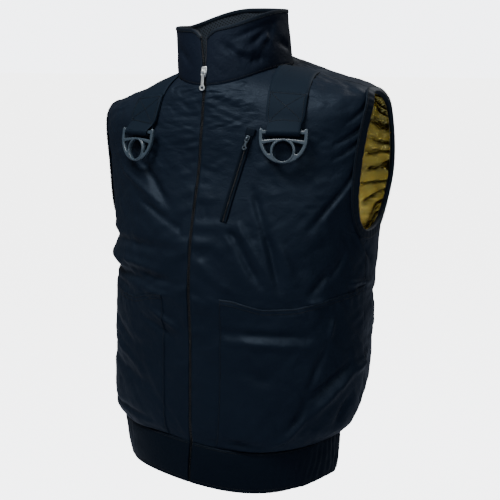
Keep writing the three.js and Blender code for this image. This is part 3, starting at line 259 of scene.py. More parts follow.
BACK_FOLDS = (
    (118, 0.66, 150, 0.58, 9, -3.4, 0.7), (242, 0.66, 210, 0.58, 9, -3.4, 0.7), (160, 0.86, 200, 0.84, 9, -2.2, 0.4),
    (122, 0.50, 165, 0.43, 9, -3.8, 0.6), (238, 0.50, 195, 0.43, 9, -3.8, 0.6), (140, 0.545, 172, 0.49, 8, 2.6, 0.6),
    (130, 0.40, 176, 0.33, 9, 3.4, 0.5), (232, 0.38, 188, 0.30, 9, -3.4, 0.5), (222, 0.44, 190, 0.38, 8, 2.6, 0.6),
    (105, 0.33, 150, 0.24, 8, -3.4, 0.5), (255, 0.31, 215, 0.22, 8, 3.0, 0.5), (112, 0.26, 140, 0.18, 7, 2.6, 0.5),
    (150, 0.20, 210, 0.17, 10, -3.6, 0.4), (120, 0.15, 170, 0.08, 8, 3.2, 0.6), (240, 0.14, 190, 0.07, 8, 3.2, 0.6),
    (165, 0.27, 205, 0.24, 9, 2.4, 0.4), (128, 0.60, 146, 0.55, 7, 2.4, 0.6), (236, 0.59, 216, 0.53, 7, 2.4, 0.6),
)


FOLD_STRENGTH = 1.3


def past_line(u, v, start, end):
    """How far along a line and how far beside it each place is, and the line's length."""
    run = np.subtract(end, start)
    length = np.hypot(*run)
    along = ((u - start[0]) * run[0] + (v - start[1]) * run[1]) / length
    return along, ((v - start[1]) * run[0] - (u - start[0]) * run[1]) / length, length


def fold_rise(u, v, rows, per_deg=MM_PER_DEG, per_level=MM_PER_LEVEL):
    """Ridges and dents, steeper on one side, that fade towards their ends."""
    rise = np.zeros(np.broadcast(u, v).shape)
    for row in rows:
        fold = dict(zip(FOLD_COLUMNS, row))
        start = fold["from_deg"] * per_deg, fold["from_level"] * per_level
        end = fold["to_deg"] * per_deg, fold["to_level"] * per_level
        along, beside, length = past_line(u, v, start, end)
        beside = beside + 3 * (noise_at(along / 40 + 5, 0 * along + length, 11) - 0.5)
        away = np.hypot(beside, along - np.clip(along, 0, length)) / fold["breadth"]
        fade = 0.35 + 0.65 * smooth_step(np.minimum(along, length - along) / (0.3 * length))
        steep = 1 + fold["lean"] * np.clip(beside / fold["breadth"], -1.5, 1.5)
        rise += FOLD_STRENGTH * fold["rise"] * fade * np.exp(-(away**2)) * steep
    return rise


ZIP_PUCKER_PITCH, ZIP_PUCKER_REACH, ZIP_PUCKER_RISE = 13, 42, 2.3
OVER_TAPE, OVER_TAPE_REACH = 1.1, 15


def zip_puckers(u, v):
    """Short slanting puckers along both sides of the front zip, stronger at the waist."""
    side = np.sign(u)
    reach = ZIP_PUCKER_REACH * (0.55 + 0.9 * noise_at(v / 45, side + 2, 21))
    fade = np.exp(-((np.abs(u) - 6) / reach) ** 2) * smooth_step(np.abs(u) / 7)
    waist = 0.45 + 0.9 * np.exp(-(((v / MM_PER_LEVEL) - 0.34) / 0.17) ** 2)
    slant = v + 0.35 * np.abs(u) * (2 * noise_at(v / 60, side + 5, 22) - 0.2)
    shape = 2 * noise_at(slant / ZIP_PUCKER_PITCH, np.abs(u) / 60 + side, 23) - 1
    return ZIP_PUCKER_RISE * shape * fade * waist


def crumple(u, v, fade):
    """Soft uneven wrinkling of light nylon."""
    large = wrinkles(u, v, 25, 120, 42, 31) + 0.8 * wrinkles(u, v, -35, 100, 34, 41)
    small = wrinkles(u, v, 40, 42, 13, 51) + wrinkles(u, v, -50, 38, 11, 61)
    fine = wrinkles(u, v, 8, 26, 8, 63) + wrinkles(u, v, -28, 22, 7, 66)
    return fade * (0.95 * large + 0.7 * small + 0.3 * fine)


HOLE_SQUARENESS = 2.2


def hole_share(level, low=UNDERARM_LEVEL, high=ARMHOLE_TOP_LEVEL):
    """How far a round opening reaches at each level, as a share of its widest."""
    t = 2 * (level - low) / (high - low) - 1
    return np.maximum(0, 1 - np.abs(t) ** HOLE_SQUARENESS) ** (1 / HOLE_SQUARENESS)


def front_edge(level):
    return math.pi / 2 - ARMHOLE_FRONT_DEG * DEG * hole_share(level)


def back_edge(level):
    return math.pi / 2 + ARMHOLE_BACK_DEG * DEG * hole_share(level)


def wrapped(angle):
    return (angle + math.pi) % (2 * math.pi) - math.pi


def from_front(angle):
    """Degrees from the front middle, to either side."""
    return np.abs(wrapped(angle)) / DEG


def seam_fade(angle, level):
    """Folds die out at the zip, the hem seam, the collar seam and the armholes."""
    turn = from_front(angle)
    reach = np.where(turn < 90, ARMHOLE_FRONT_DEG, ARMHOLE_BACK_DEG)
    halfway = 0.5 * (UNDERARM_LEVEL + ARMHOLE_TOP_LEVEL)
    from_hole = np.hypot((turn - 90) / reach, (level - halfway) / (ARMHOLE_TOP_LEVEL - halfway)) - 1
    ends = np.minimum(level / 0.02, (1 - level) / 0.03)
    return smooth_step(np.minimum(np.minimum(turn / 5, from_hole / 0.22 + 0.1), ends))


GROOVE_WIDTH, GROOVE_DEPTH = 1.6, 0.6


def groove(distance):
    """The dip that a row of stitches pulls into the cloth."""
    return -GROOVE_DEPTH * np.exp(-((distance / GROOVE_WIDTH) ** 2))


# The cloth lies flat where something is sewn on it: (from_deg, from_level, to_deg, to_level, reach).
FLAT_PLACES = ((20, 0.745, 13.4, 0.495, 11), (38, 0.80, 48, 0.96, 38), (-34, 0.80, -52, 0.96, 38))
SIDE_SEAM_MM = 4


def flatness(u, v):
    share = np.ones(np.broadcast(u, v).shape)
    for from_deg, from_level, to_deg, to_level, reach in FLAT_PLACES:
        start = from_deg * MM_PER_DEG, from_level * MM_PER_LEVEL
        along, beside, length = past_line(u, v, start, (to_deg * MM_PER_DEG, to_level * MM_PER_LEVEL))
        away = np.hypot(beside, along - np.clip(along, 0, length))
        share = np.minimum(share, smooth_step((away - reach) / 14))
    return share


def shell_rise(angle, level):
    """Everything that the shell cloth does beyond its plain form."""
    angle, level = np.broadcast_arrays(angle, level)
    angle = wrapped(angle)
    u, v = cloth_uv(angle, level)
    fade = seam_fade(angle, level) * flatness(u, v)
    back_u = np.where(u < 0, u + 360 * MM_PER_DEG, u)
    rise = fade * (fold_rise(u, v, FRONT_FOLDS) + fold_rise(back_u, v, BACK_FOLDS)) + crumple(back_u, v, fade)
    rise += zip_puckers(u, v) * smooth_step((1 - level) / 0.03)
    on_seam = (level < UNDERARM_LEVEL) | (level > ARMHOLE_TOP_LEVEL)
    beside = np.abs(u) - 90 * MM_PER_DEG
    rise = rise + np.where(on_seam, groove(beside - SIDE_SEAM_MM) - 0.9 * np.exp(-((beside / 2) ** 2)), 0)
    return np.maximum(rise, -OVER_TAPE - 0.6 * np.maximum(0, np.abs(u) - OVER_TAPE_REACH))


def socket(group, name, kind, default=None, output=False):
    made = group.interface.new_socket(name=name, in_out="OUTPUT" if output else "INPUT", socket_type=kind)
    if default is not None:
        made.default_value = default


def node(tree, kind, **inputs):
    """A shader or geometry node with values or links set on its named inputs."""
    made = tree.nodes.new(kind)
    for name, value in inputs.items():
        target = made.inputs[int(name[1:]) if name[0] == "i" and name[1:].isdigit() else name.replace("_", " ")]
        if isinstance(value, bpy.types.NodeSocket):
            tree.links.new(value, target)
        else:
            target.default_value = value
    return made


def maths(tree, operation, first, second=0.0, third=0.0):
    made = node(tree, "ShaderNodeMath", i0=first, i1=second, i2=third)
    made.operation = operation
    return made.outputs[0]


def woven_group():
    """A plain weave with soft crumpling, read from the cloth's own map: a height, and a tint from 0 to 1."""
    group = bpy.data.node_groups.new("woven_cloth", "ShaderNodeTree")
    socket(group, "Map", "NodeSocketVector")
    socket(group, "Thread", "NodeSocketFloat", 0.9)
    socket(group, "Crumple", "NodeSocketFloat", 1.0)
    socket(group, "Height", "NodeSocketFloat", output=True)
    socket(group, "Tint", "NodeSocketFloat", output=True)
    given = group.nodes.new("NodeGroupInput")
    result = group.nodes.new("NodeGroupOutput")
    place = node(group, "ShaderNodeSeparateXYZ", Vector=given.outputs["Map"])
    step = maths(group, "DIVIDE", 2 * math.pi, given.outputs["Thread"])
    warp = maths(group, "SINE", maths(group, "MULTIPLY", place.outputs["X"], step))
    weft = maths(group, "SINE", maths(group, "MULTIPLY", place.outputs["Y"], step))
    weave = maths(group, "MULTIPLY", warp, weft)
    crease = node(group, "ShaderNodeTexNoise", Vector=given.outputs["Map"], Scale=0.09, Detail=4.0, Distortion=1.2)
    fine = node(group, "ShaderNodeTexNoise", Vector=given.outputs["Map"], Scale=0.35, Detail=2.0, Distortion=0.6)
    soft = maths(group, "ADD", crease.outputs["Fac"], maths(group, "MULTIPLY", fine.outputs["Fac"], 0.25))
    bumps = maths(group, "MULTIPLY", soft, given.outputs["Crumple"])
    height = maths(group, "MULTIPLY_ADD", weave, 0.02, bumps)
    group.links.new(height, result.inputs["Height"])
    blotch = node(group, "ShaderNodeTexNoise", Vector=given.outputs["Map"], Scale=0.012, Detail=3.0)
    tint = maths(group, "MULTIPLY_ADD", weave, 0.12, blotch.outputs["Fac"])
    group.links.new(tint, result.inputs["Tint"])
    return group


woven = woven_group()


def blank_material(name, **values):
    """A new material with values set on its shader's own sockets. Returns it, its tree and its shader."""
    material = bpy.data.materials.new(name)
    material.use_nodes = True
    shader = material.node_tree.nodes["Principled BSDF"]
    for socket_name, value in values.items():
        shader.inputs[socket_name.replace("_", " ")].default_value = value
    return material, material.node_tree, shader


def cloth_map(tree):
    uv = tree.nodes.new("ShaderNodeUVMap")
    uv.uv_map = "cloth"
    return uv.outputs["UV"]


def paint(tree, shader, factor, dark, light, height, bump, depth):
    """Two shades mixed by a factor as the colour, and a bump from a height."""
    mix = tree.nodes.new("ShaderNodeMix")
    mix.data_type = "RGBA"
    shades = [i for i in mix.inputs if i.type == "RGBA"]
    shades[0].default_value, shades[1].default_value = (*dark, 1), (*light, 1)
    tree.links.new(factor, mix.inputs["Factor"])
    tree.links.new([o for o in mix.outputs if o.type == "RGBA"][0], shader.inputs["Base Color"])
    relief = node(tree, "ShaderNodeBump", Height=height, Strength=bump, Distance=depth)
    tree.links.new(relief.outputs["Normal"], shader.inputs["Normal"])


def cloth_material(name, dark, light, roughness, thread=0.9, crumple_share=1.0, bump=0.5, specular=0.16):
    """Woven cloth: two close shades mixed by the weave and slow blotches, and a bump from the same weave."""
    material, tree, shader = blank_material(
        name, Roughness=roughness, Specular_IOR_Level=specular, Specular_Tint=(0.6, 0.78, 1.0, 1))
    weave = tree.nodes.new("ShaderNodeGroup")
    weave.node_tree = woven
    tree.links.new(cloth_map(tree), weave.inputs["Map"])
    weave.inputs["Thread"].default_value = thread
    weave.inputs["Crumple"].default_value = crumple_share
    paint(tree, shader, weave.outputs["Tint"], dark, light, weave.outputs["Height"], bump, 0.002)
    return material


nylon = cloth_material("shell_nylon", (0.0022, 0.0040, 0.0078), (0.0046, 0.0076, 0.0134), 0.52,
                       bump=0.3, specular=0.09)
ROW_STEP_MM, FRONT_COLUMNS, BACK_COLUMNS = 2.4, 140, 260
body_levels = np.linspace(0, 1, int(MM_PER_LEVEL / ROW_STEP_MM))[:, None]
SEAM_HALF_DEG = 0.02
half_seam = SEAM_HALF_DEG * DEG


def panel(name, first, last, columns, node_name):
    """A panel of shell cloth between two edges, each the angle of that edge at every level."""
    share = np.linspace(0, 1, columns)[None, :]
    angle = first(body_levels) * (1 - share) + last(body_levels) * share
    u, v = cloth_uv(angle, body_levels)
    piece = cloth_sheet(name, body_form, angle, body_levels, shell_rise(angle, body_levels),
                        map_of(u, v), nylon)
    fit(piece, "vest", node_name)


ZIP_HALF_REVEAL = 2.4


def zip_angle(level):
    return angle_across(body_form, level, ZIP_HALF_REVEAL)


panel("front_left", zip_angle, lambda level: front_edge(level) - half_seam, FRONT_COLUMNS,
      "shell_front_left")
panel("front_right", lambda level: half_seam - front_edge(level), lambda level: -zip_angle(level),
      FRONT_COLUMNS, "shell_front_right")
panel("back", lambda level: back_edge(level) + half_seam, lambda level: 2 * math.pi - back_edge(level) - half_seam,
      BACK_COLUMNS, "shell_back")


# Stitching: short thread stitches laid along the sewn lines, repeated by one node tree that everything sewn,
# the zip teeth included, goes through.
def repeat_tree():
    """A unit laid along rails at a pitch, with its X along the rail, its Z outward and its size shaken a little."""
    tree = bpy.data.node_groups.new("repeat_along", "GeometryNodeTree")
    for name, kind, value in (("Geometry", "Geometry", None), ("Unit", "Object", None), ("Pitch", "Float", 0.003),
                              ("Shake", "Float", 0.1), ("Seed", "Int", 1), ("Material", "Material", None)):
        socket(tree, name, "NodeSocket" + kind, value)
    socket(tree, "Geometry", "NodeSocketGeometry", output=True)
    given, result = tree.nodes.new("NodeGroupInput"), tree.nodes.new("NodeGroupOutput")
    curve = node(tree, "GeometryNodeMeshToCurve", Mesh=given.outputs["Geometry"])
    spaced = node(tree, "GeometryNodeResampleCurve", Curve=curve.outputs[0])
    spaced.mode = "LENGTH"
    tree.links.new(given.outputs["Pitch"], spaced.inputs["Length"])
    unit_info = node(tree, "GeometryNodeObjectInfo", Object=given.outputs["Unit"])
    outward = tree.nodes.new("GeometryNodeInputNamedAttribute")
    outward.data_type = "FLOAT_VECTOR"
    outward.inputs["Name"].default_value = "outward"
    turn = tree.nodes.new("FunctionNodeAxesToRotation")
    turn.primary_axis, turn.secondary_axis = "X", "Z"
    tangent = tree.nodes.new("GeometryNodeInputTangent")
    tree.links.new(tangent.outputs[0], turn.inputs[0])
    tree.links.new(outward.outputs[0], turn.inputs[1])
    least = maths(tree, "SUBTRACT", 1.0, given.outputs["Shake"])
    most = maths(tree, "ADD", 1.0, given.outputs["Shake"])
    size = tree.nodes.new("FunctionNodeRandomValue")
    size.data_type = "FLOAT"
    numbers = [i for i in size.inputs if i.type == "VALUE"]
    tree.links.new(least, numbers[0])
    tree.links.new(most, numbers[1])
    tree.links.new(given.outputs["Seed"], size.inputs["Seed"])
    laid = node(tree, "GeometryNodeInstanceOnPoints", Points=spaced.outputs[0],
                Instance=unit_info.outputs["Geometry"])
    tree.links.new(turn.outputs[0], laid.inputs["Rotation"])
    tree.links.new([o for o in size.outputs if o.type == "VALUE"][0], laid.inputs["Scale"])
    real = node(tree, "GeometryNodeRealizeInstances", Geometry=laid.outputs[0])
    painted = node(tree, "GeometryNodeSetMaterial", Geometry=real.outputs[0], Material=given.outputs["Material"])
    tree.links.new(painted.outputs[0], result.inputs[0])
    return tree


repeat_nodes = repeat_tree()


def unit_object(name, corners, faces):
    mesh = bpy.data.meshes.new(name)
    mesh.from_pydata((np.array(corners, float) * MM).tolist(), [], faces)
    mesh.polygons.foreach_set("use_smooth", np.ones(len(faces), bool))
    return placed(name, mesh)


def rounded_bar(length, width, height, sides=6):
    """A short bar along X, thick in the middle and blunt at both ends."""
    corners, faces = [], []
    rings = ((-0.5, 0.35), (-0.34, 1), (0.34, 1), (0.5, 0.35))
    for share, girth in rings:
        for k in range(sides):
            turn = 2 * math.pi * k / sides
            corners.append((share * length, 0.5 * width * girth * math.cos(turn),
                            0.5 * height * girth * math.sin(turn)))
    for ring in range(len(rings) - 1):
        for k in range(sides):
            near, far = ring * sides, (ring + 1) * sides
            following = (k + 1) % sides
            faces.append((near + k, near + following, far + following, far + k))
    faces.append(tuple(reversed(range(sides))))
    faces.append(tuple(range((len(rings) - 1) * sides, len(rings) * sides)))
    return corners, [tuple(reversed(face)) for face in faces]


def repeat_along(name, rails, unit_shape, pitch, material, seed, shake=0.08):
    """A piece made of one unit repeated along rails, each a pair of points and outward directions."""
    corners, outwards, edges = [], [], []
    for points, outward in rails:
        first = len(corners)
        corners.extend((points * MM).tolist())
        outwards.extend(outward.tolist())
        edges.extend((first + i, first + i + 1) for i in range(len(points) - 1))
    mesh = bpy.data.meshes.new(name + "_rails")
    mesh.from_pydata(corners, edges, [])
    mesh.attributes.new("outward", "FLOAT_VECTOR", "POINT").data.foreach_set("vector", np.ravel(outwards))
    piece = placed(name, mesh)
    unit = unit_object(name + "_unit", *unit_shape)
    layer = piece.modifiers.new("repeat", "NODES")
    layer.node_group = repeat_nodes
    values = {"Unit": unit, "Pitch": pitch * MM, "Shake": shake, "Seed": seed, "Material": material}
    for item in repeat_nodes.interface.items_tree:
        if item.in_out == "INPUT" and item.name in values:
            layer[item.identifier] = values[item.name]
    bpy.context.view_layer.update()
    made = bpy.data.meshes.new_from_object(piece.evaluated_get(bpy.context.evaluated_depsgraph_get()))
    piece.modifiers.remove(layer)
    made.name = name
    piece.data = made
    bpy.data.meshes.remove(mesh)
    bpy.data.objects.remove(unit)
    return piece


def plain_material(name, colour, roughness, metallic=0.0, grain=1.2, bump=0.15, shade=0.12, specular=0.5):
    """Moulded, cast or twisted stuff: a slow change of shade and a fine grain, both read from the object."""
    material, tree, shader = blank_material(name, Metallic=metallic, Specular_IOR_Level=specular)
    place = tree.nodes.new("ShaderNodeTexCoord").outputs["Object"]
    slow = node(tree, "ShaderNodeTexNoise", Vector=place, Scale=90.0, Detail=3.0)
    fine = node(tree, "ShaderNodeTexNoise", Vector=place, Scale=1000.0 * grain, Detail=2.0)
    dark, light = [c * (1 - shade) for c in colour], [c * (1 + shade) for c in colour]
    paint(tree, shader, slow.outputs["Fac"], dark, light, fine.outputs["Fac"], bump, 0.0005)
    uneven_amount = maths(tree, "MULTIPLY_ADD", slow.outputs["Fac"], 0.2, roughness - 0.1)
    tree.links.new(uneven_amount, shader.inputs["Roughness"])
    return material


thread = plain_material("sewing_thread", (0.0009, 0.0015, 0.0026), 0.6, grain=2.5, bump=0.4, specular=0.2)
STITCH_PITCH, STITCH_LIFT = 3.2, 0.35
stitch = rounded_bar(length=2.3, width=0.75, height=0.7)


def cloth_rail(form, angle, at, rise):
    """A line over a form and the directions out from it."""
    angle, at, rise = grids(angle, at, rise)
    return raised(form, angle, at, rise), normal_of(form, angle, at)


def sewn(name, rails, seed):
    piece = repeat_along(name, rails, stitch, STITCH_PITCH, thread, seed)
    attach(piece, "vest")


def over_shell(angle, level, proud=0.25):
    return cloth_rail(body_form, angle, level, shell_rise(angle, level) + proud)


side_levels = np.linspace(0.365, UNDERARM_LEVEL - 0.025, 60)
shoulder_levels = np.linspace(ARMHOLE_TOP_LEVEL + 0.03, 0.985, 50)
side_step = SIDE_SEAM_MM / MM_PER_DEG * DEG
sewn("shell_stitching", [
    over_shell(side * (0.5 * math.pi - side_step), rows) for side in (1, -1)
    for rows in (side_levels, shoulder_levels)], 101)


# Foil lining: a thin gold metallised film behind the shell, caught at its edges and crinkled all over, with
# puckers that run away from the armhole bindings.
FOIL_FRONT_INSET_DEG, FOIL_BACK_INSET_DEG = 7, 4.8
FOIL_HOLE_INSET = 14
FOIL_DEPTH, FOIL_EDGE_DEPTH, FOIL_EDGE_REACH = 7.5, 3.5, 20
FOIL_TOP_LEVEL, FOIL_FROM_ZIP = 0.985, 13.5
FOIL_CLEARANCE, FOIL_SLACK, FOIL_LIP = 2.2, 3.5, 0.6
FOIL_ROWS, FOIL_FRONT_COLUMNS, FOIL_BACK_COLUMNS = 250, 90, 180
PUCKER_HALF_WIDTH, PUCKER_HALF_HEIGHT, PUCKER_RISE, PUCKERS_ROUND = 70, 110, 9, 36
# Creases in the film: (turn_deg, length, width, height, seed).
FOIL_CREASES = ((25, 60, 18, 3.6, 72), (-50, 50, 16, 3.2, 75), (80, 45, 15, 2.6, 78), (-10, 28, 9, 1.4, 84))


def foil_material():
    """Metallised film with painted highlights on its crests and painted shade in the creases between them, broken up
    in random patches.
    """
    material, tree, shader = blank_material("gold_foil", Metallic=1.0)
    place = cloth_map(tree)
    crinkle = node(tree, "ShaderNodeTexVoronoi", Vector=place, Scale=0.14)
    crinkle.feature = "DISTANCE_TO_EDGE"
    soft = node(tree, "ShaderNodeTexNoise", Vector=place, Scale=0.07, Detail=4.0, Distortion=2.4)
    # Painted light: a height attribute from the crinkles and puckers lightens the crests as painted highlights and
    # darkens the creases as painted shade.
    crest_painted_light = tree.nodes.new("ShaderNodeAttribute")
    crest_painted_light.attribute_name = "crest_painted_light"
    patchy = maths(tree, "MULTIPLY_ADD", soft.outputs["Fac"], 3.2, -1.0)
    uneven_amount = maths(tree, "MULTIPLY_ADD", crest_painted_light.outputs["Fac"], 1.3, patchy)
    share = maths(tree, "MINIMUM", maths(tree, "MAXIMUM", uneven_amount, 0.0), 1.0)
    height = maths(tree, "MULTIPLY_ADD", crinkle.outputs["Distance"], 0.25, soft.outputs["Fac"])
    # The dark colour is painted shade for the creases and the pale gold is painted highlight for the crests.
    paint(tree, shader, share, (0.07, 0.045, 0.004), (1.0, 0.86, 0.31), height, 1.0, 0.012)
    tree.links.new(maths(tree, "MULTIPLY_ADD", soft.outputs["Fac"], 0.14, 0.12), shader.inputs["Roughness"])
    return material


foil = foil_material()
foil_low = UNDERARM_LEVEL - FOIL_HOLE_INSET / BODY_LENGTH
foil_high = ARMHOLE_TOP_LEVEL + FOIL_HOLE_INSET / BODY_LENGTH


def foil_panel(name, first, last, columns):
    """A panel of film between two edges: puckered round the armhole, crinkled elsewhere, and behind the shell."""
    levels = np.linspace(0, FOIL_TOP_LEVEL, FOIL_ROWS)[:, None]
    share = np.linspace(0, 1, columns)[None, :]
    angle = last(levels) * (1 - share) + first(levels) * share
    u, v = cloth_uv(angle, levels)
    turn = from_front(angle)
    hole_x = (turn - 90) * MM_PER_DEG
    hole_y = (levels - 0.5 * (foil_low + foil_high)) * MM_PER_LEVEL
    radius = np.hypot(hole_x / PUCKER_HALF_WIDTH, hole_y / PUCKER_HALF_HEIGHT)
    round_hole = np.arctan2(hole_y, hole_x)
    phase = PUCKERS_ROUND * round_hole + 8 * noise_at(4 * round_hole + 20, radius * 0.8, 71)
    puckers = PUCKER_RISE * (np.abs(np.sin(0.5 * phase)) - 0.65) * np.exp(-0.9 * np.maximum(radius - 1.5, 0))
    away = 0.2 + 0.8 * smooth_step((radius - 2) / 1.2)
    crinkles = -1.2 * away
    for turn_deg, length, width, height, seed in FOIL_CREASES:
        crinkles = crinkles + away * height * (1 - np.abs(wrinkles(u, v, turn_deg, length, width, seed))) ** 4
    from_side = np.minimum(share, 1 - share) * np.abs(last(levels) - first(levels)) / DEG * MM_PER_DEG
    from_edge = np.minimum(from_side, np.minimum(levels, FOIL_TOP_LEVEL - levels) * MM_PER_LEVEL)
    loose = smooth_step(from_edge / FOIL_EDGE_REACH)
    depth = FOIL_EDGE_DEPTH + (FOIL_DEPTH - FOIL_EDGE_DEPTH) * loose
    rise = -depth - FOIL_SLACK * loose + loose * crinkles + puckers * smooth_step(from_edge / 8)
    rise = np.minimum(rise, shell_rise(angle, levels) - FOIL_CLEARANCE)
    piece = cloth_sheet("foil_" + name, body_form, angle, levels, rise, map_of(u, v), foil, lip=-FOIL_LIP)
    # The crinkle and pucker height, stored to paint highlights on the foil's crests and shade in its creases.
    crest_painted_light = np.pad((loose * crinkles + puckers) / 5, 1, mode="edge")
    piece.data.attributes.new("crest_painted_light", "FLOAT", "POINT").data.foreach_set("value", crest_painted_light.ravel())
    fit(piece, "vest", name)


def foil_front(level):
    reach = (ARMHOLE_FRONT_DEG + FOIL_FRONT_INSET_DEG) * DEG
    return math.pi / 2 - reach * hole_share(level, foil_low, foil_high)


def foil_back(level):
    reach = (ARMHOLE_BACK_DEG + FOIL_BACK_INSET_DEG) * DEG
    return math.pi / 2 + reach * hole_share(level, foil_low, foil_high)


def foil_zip(level):
    return angle_across(body_form, level, FOIL_FROM_ZIP)


foil_panel("lining_front_left", foil_zip, lambda level: foil_front(level) - half_seam, FOIL_FRONT_COLUMNS)
foil_panel("lining_front_right", lambda level: half_seam - foil_front(level), lambda level: -foil_zip(level),
           FOIL_FRONT_COLUMNS)
foil_panel("lining_back", lambda level: foil_back(level) + half_seam,
           lambda level: 2 * math.pi - foil_back(level) - half_seam, FOIL_BACK_COLUMNS)


# Lower pockets: a second layer of the same nylon on each front, sewn down by a double row along its top and a
# single row down its inner edge.
POCKET_PROUD, POCKET_INNER_DEG = 1.3, 12.5
POCKET_TOP = ((12.5, 18, 31, 46, 62, 90), (0.333, 0.33, 0.313, 0.316, 0.332, 0.352))
POCKET_FOOT_LEVEL, POCKET_COLUMNS, POCKET_ROWS = 0.006, 110, 100
POCKET_ROW_IN, POCKET_ROW_GAP, POCKET_SLACK = 2, 5.5, 2.4


def pocket_angle(level, share):
    start, end = zip_angle(level), front_edge(level) - half_seam
    inner = start + POCKET_INNER_DEG / 90 * (end - start)
    return inner + share * (end - inner)


def pocket_top(share):
    """The pocket's top edge, which sags between its ends."""
    return np.interp(POCKET_INNER_DEG + share * (90 - POCKET_INNER_DEG), *POCKET_TOP)


def pocket_rise(angle, level, share):
    """The cloth's own rise, with the pocket's slack and the grooves of its sewn rows added."""
    from_top = (pocket_top(share) - level) * MM_PER_LEVEL
    from_inner = share * (90 - POCKET_INNER_DEG) * MM_PER_DEG
    u, v = cloth_uv(angle, level)
    inside = smooth_step(np.minimum(from_top - 10, from_inner - 5) / 60)
    slack = POCKET_SLACK * inside * (0.5 + noise_at(u / 60, v / 60, 81))
    rows = (groove(from_top - POCKET_ROW_IN) + groove(from_top - POCKET_ROW_IN - POCKET_ROW_GAP)
            + groove(from_inner - POCKET_ROW_IN))
    pull = 0.5 * (2 * noise_at(u / 7, v / 30, 82) - 1) * np.exp(-((from_top - 12) / 12) ** 2)
    return shell_rise(angle, level) + POCKET_PROUD + slack + rows + pull


for side_name, side in (("left", 1), ("right", -1)):
    share = np.linspace(0, 1, POCKET_COLUMNS)[None, ::side]
    climb = np.linspace(0, 1, POCKET_ROWS)[:, None]
    levels = POCKET_FOOT_LEVEL + climb * (pocket_top(share) - POCKET_FOOT_LEVEL)
    angle = side * pocket_angle(levels, share)
    piece = cloth_sheet("patch_pocket_" + side_name, body_form, angle, levels, pocket_rise(angle, levels, share),
                        map_of(*cloth_uv(angle, levels)), nylon, lip=POCKET_PROUD)
    fit(piece, "vest", "pocket_" + side_name)
    along = np.linspace(0.012, 0.99, 90)
    rails = []
    for drop in (POCKET_ROW_IN, POCKET_ROW_IN + POCKET_ROW_GAP):
        level = pocket_top(along) - drop / MM_PER_LEVEL
        across = side * pocket_angle(level, along)
        rails.append(cloth_rail(body_form, across, level, pocket_rise(across, level, along) + STITCH_LIFT))
    level = np.linspace(POCKET_FOOT_LEVEL + 0.01, POCKET_TOP[1][0] - 0.005, 90)
    inward = POCKET_ROW_IN / ((90 - POCKET_INNER_DEG) * MM_PER_DEG) + 0 * level
    across = side * pocket_angle(level, inward)
    rails.append(cloth_rail(body_form, across, level, pocket_rise(across, level, inward) + STITCH_LIFT))
    sewn("pocket_stitching_" + side_name, rails, 111 + side)


# Hem band: a deep band of the same cloth over wide elastic, plain beside the zip and gathered round the sides
# and back, sewn along its top.
HEM_PROUD, HEM_PLAIN_DEG, HEM_GATHER_PITCH_DEG = 1.2, 34, 4.4
HEM_PER_RADIAN, HEM_TOP_ROW, HEM_FOOT_ROW = 150, 3, 5
band_cloth = cloth_material("band_nylon", (0.0014, 0.0026, 0.0050), (0.0030, 0.0050, 0.0086), 0.55,
                            bump=0.3, specular=0.05)


def hem_form(angle, rise):
    """A point of the band, from its foot at rise 0 to the hem seam at rise 1."""
    angle, rise = grids(angle, rise)
    s, c = np.sin(angle), np.cos(angle)
    depth = np.where(c < 0, HEM_BACK_DEPTH, HEM_FRONT_DEPTH)
    lift = np.where(c < 0, HEM_BACK_LIFT * c * c, 0)
    edge = np.stack([0.5 * HEM_WIDTH * s - HEM_SHIFT_RIGHT, -depth * c, lift - BODY_LENGTH - hem_dip(angle)], -1)
    return edge * (1 - rise[..., None]) + body_form(angle, 0 * rise) * rise[..., None]


def hem_rise(angle, rise):
    turn = from_front(angle)
    place = angle / DEG
    drift = 2.5 * noise_at(place / 14, 1.2 * rise, 91)
    fine = np.sin(2 * math.pi * place / HEM_GATHER_PITCH_DEG + 3 * drift) * noise_at(place / 5, 3 * rise, 94)
    broad = 2 * noise_at(place / 7 + 0.6 * rise, 1.3 * rise + 4, 95) - 1
    gathers = (0.7 * fine + 1.4 * broad) * smooth_step((turn - HEM_PLAIN_DEG) / 30) * smooth_step((1 - rise) / 0.12)
    bulge = 1.8 * np.sin(math.pi * np.clip(rise, 0, 1)) ** 0.7
    rows = groove((1 - rise) * HEM_BAND_HEIGHT - HEM_TOP_ROW) + groove(rise * HEM_BAND_HEIGHT - HEM_FOOT_ROW)
    soft = 0.5 * wrinkles(angle * HEM_PER_RADIAN, rise * HEM_BAND_HEIGHT, 20, 34, 12, 93)
    return HEM_PROUD + gathers + bulge + rows + soft


hem_rises = np.linspace(0, 1 - 0.35 / HEM_BAND_HEIGHT, 30)[:, None]
hem_start = angle_across(hem_form, 1, ZIP_HALF_REVEAL)
hem_angles = np.linspace(hem_start, 2 * math.pi - hem_start, 620)[None, :]
hem_uv = map_of(hem_angles * HEM_PER_RADIAN, hem_rises * HEM_BAND_HEIGHT)
hem = cloth_sheet("gathered_band", hem_form, hem_angles, hem_rises, hem_rise(hem_angles, hem_rises), hem_uv,
                  band_cloth, lip=3)
fit(hem, "vest", "hem_band")
hem_line = np.linspace(hem_start + 0.03, 2 * math.pi - hem_start - 0.03, 620)
sewn("hem_stitching", [
    cloth_rail(hem_form, hem_line, rise, hem_rise(hem_line, rise) + STITCH_LIFT)
    for rise in (1 - HEM_TOP_ROW / HEM_BAND_HEIGHT, HEM_FOOT_ROW / HEM_BAND_HEIGHT)], 121)


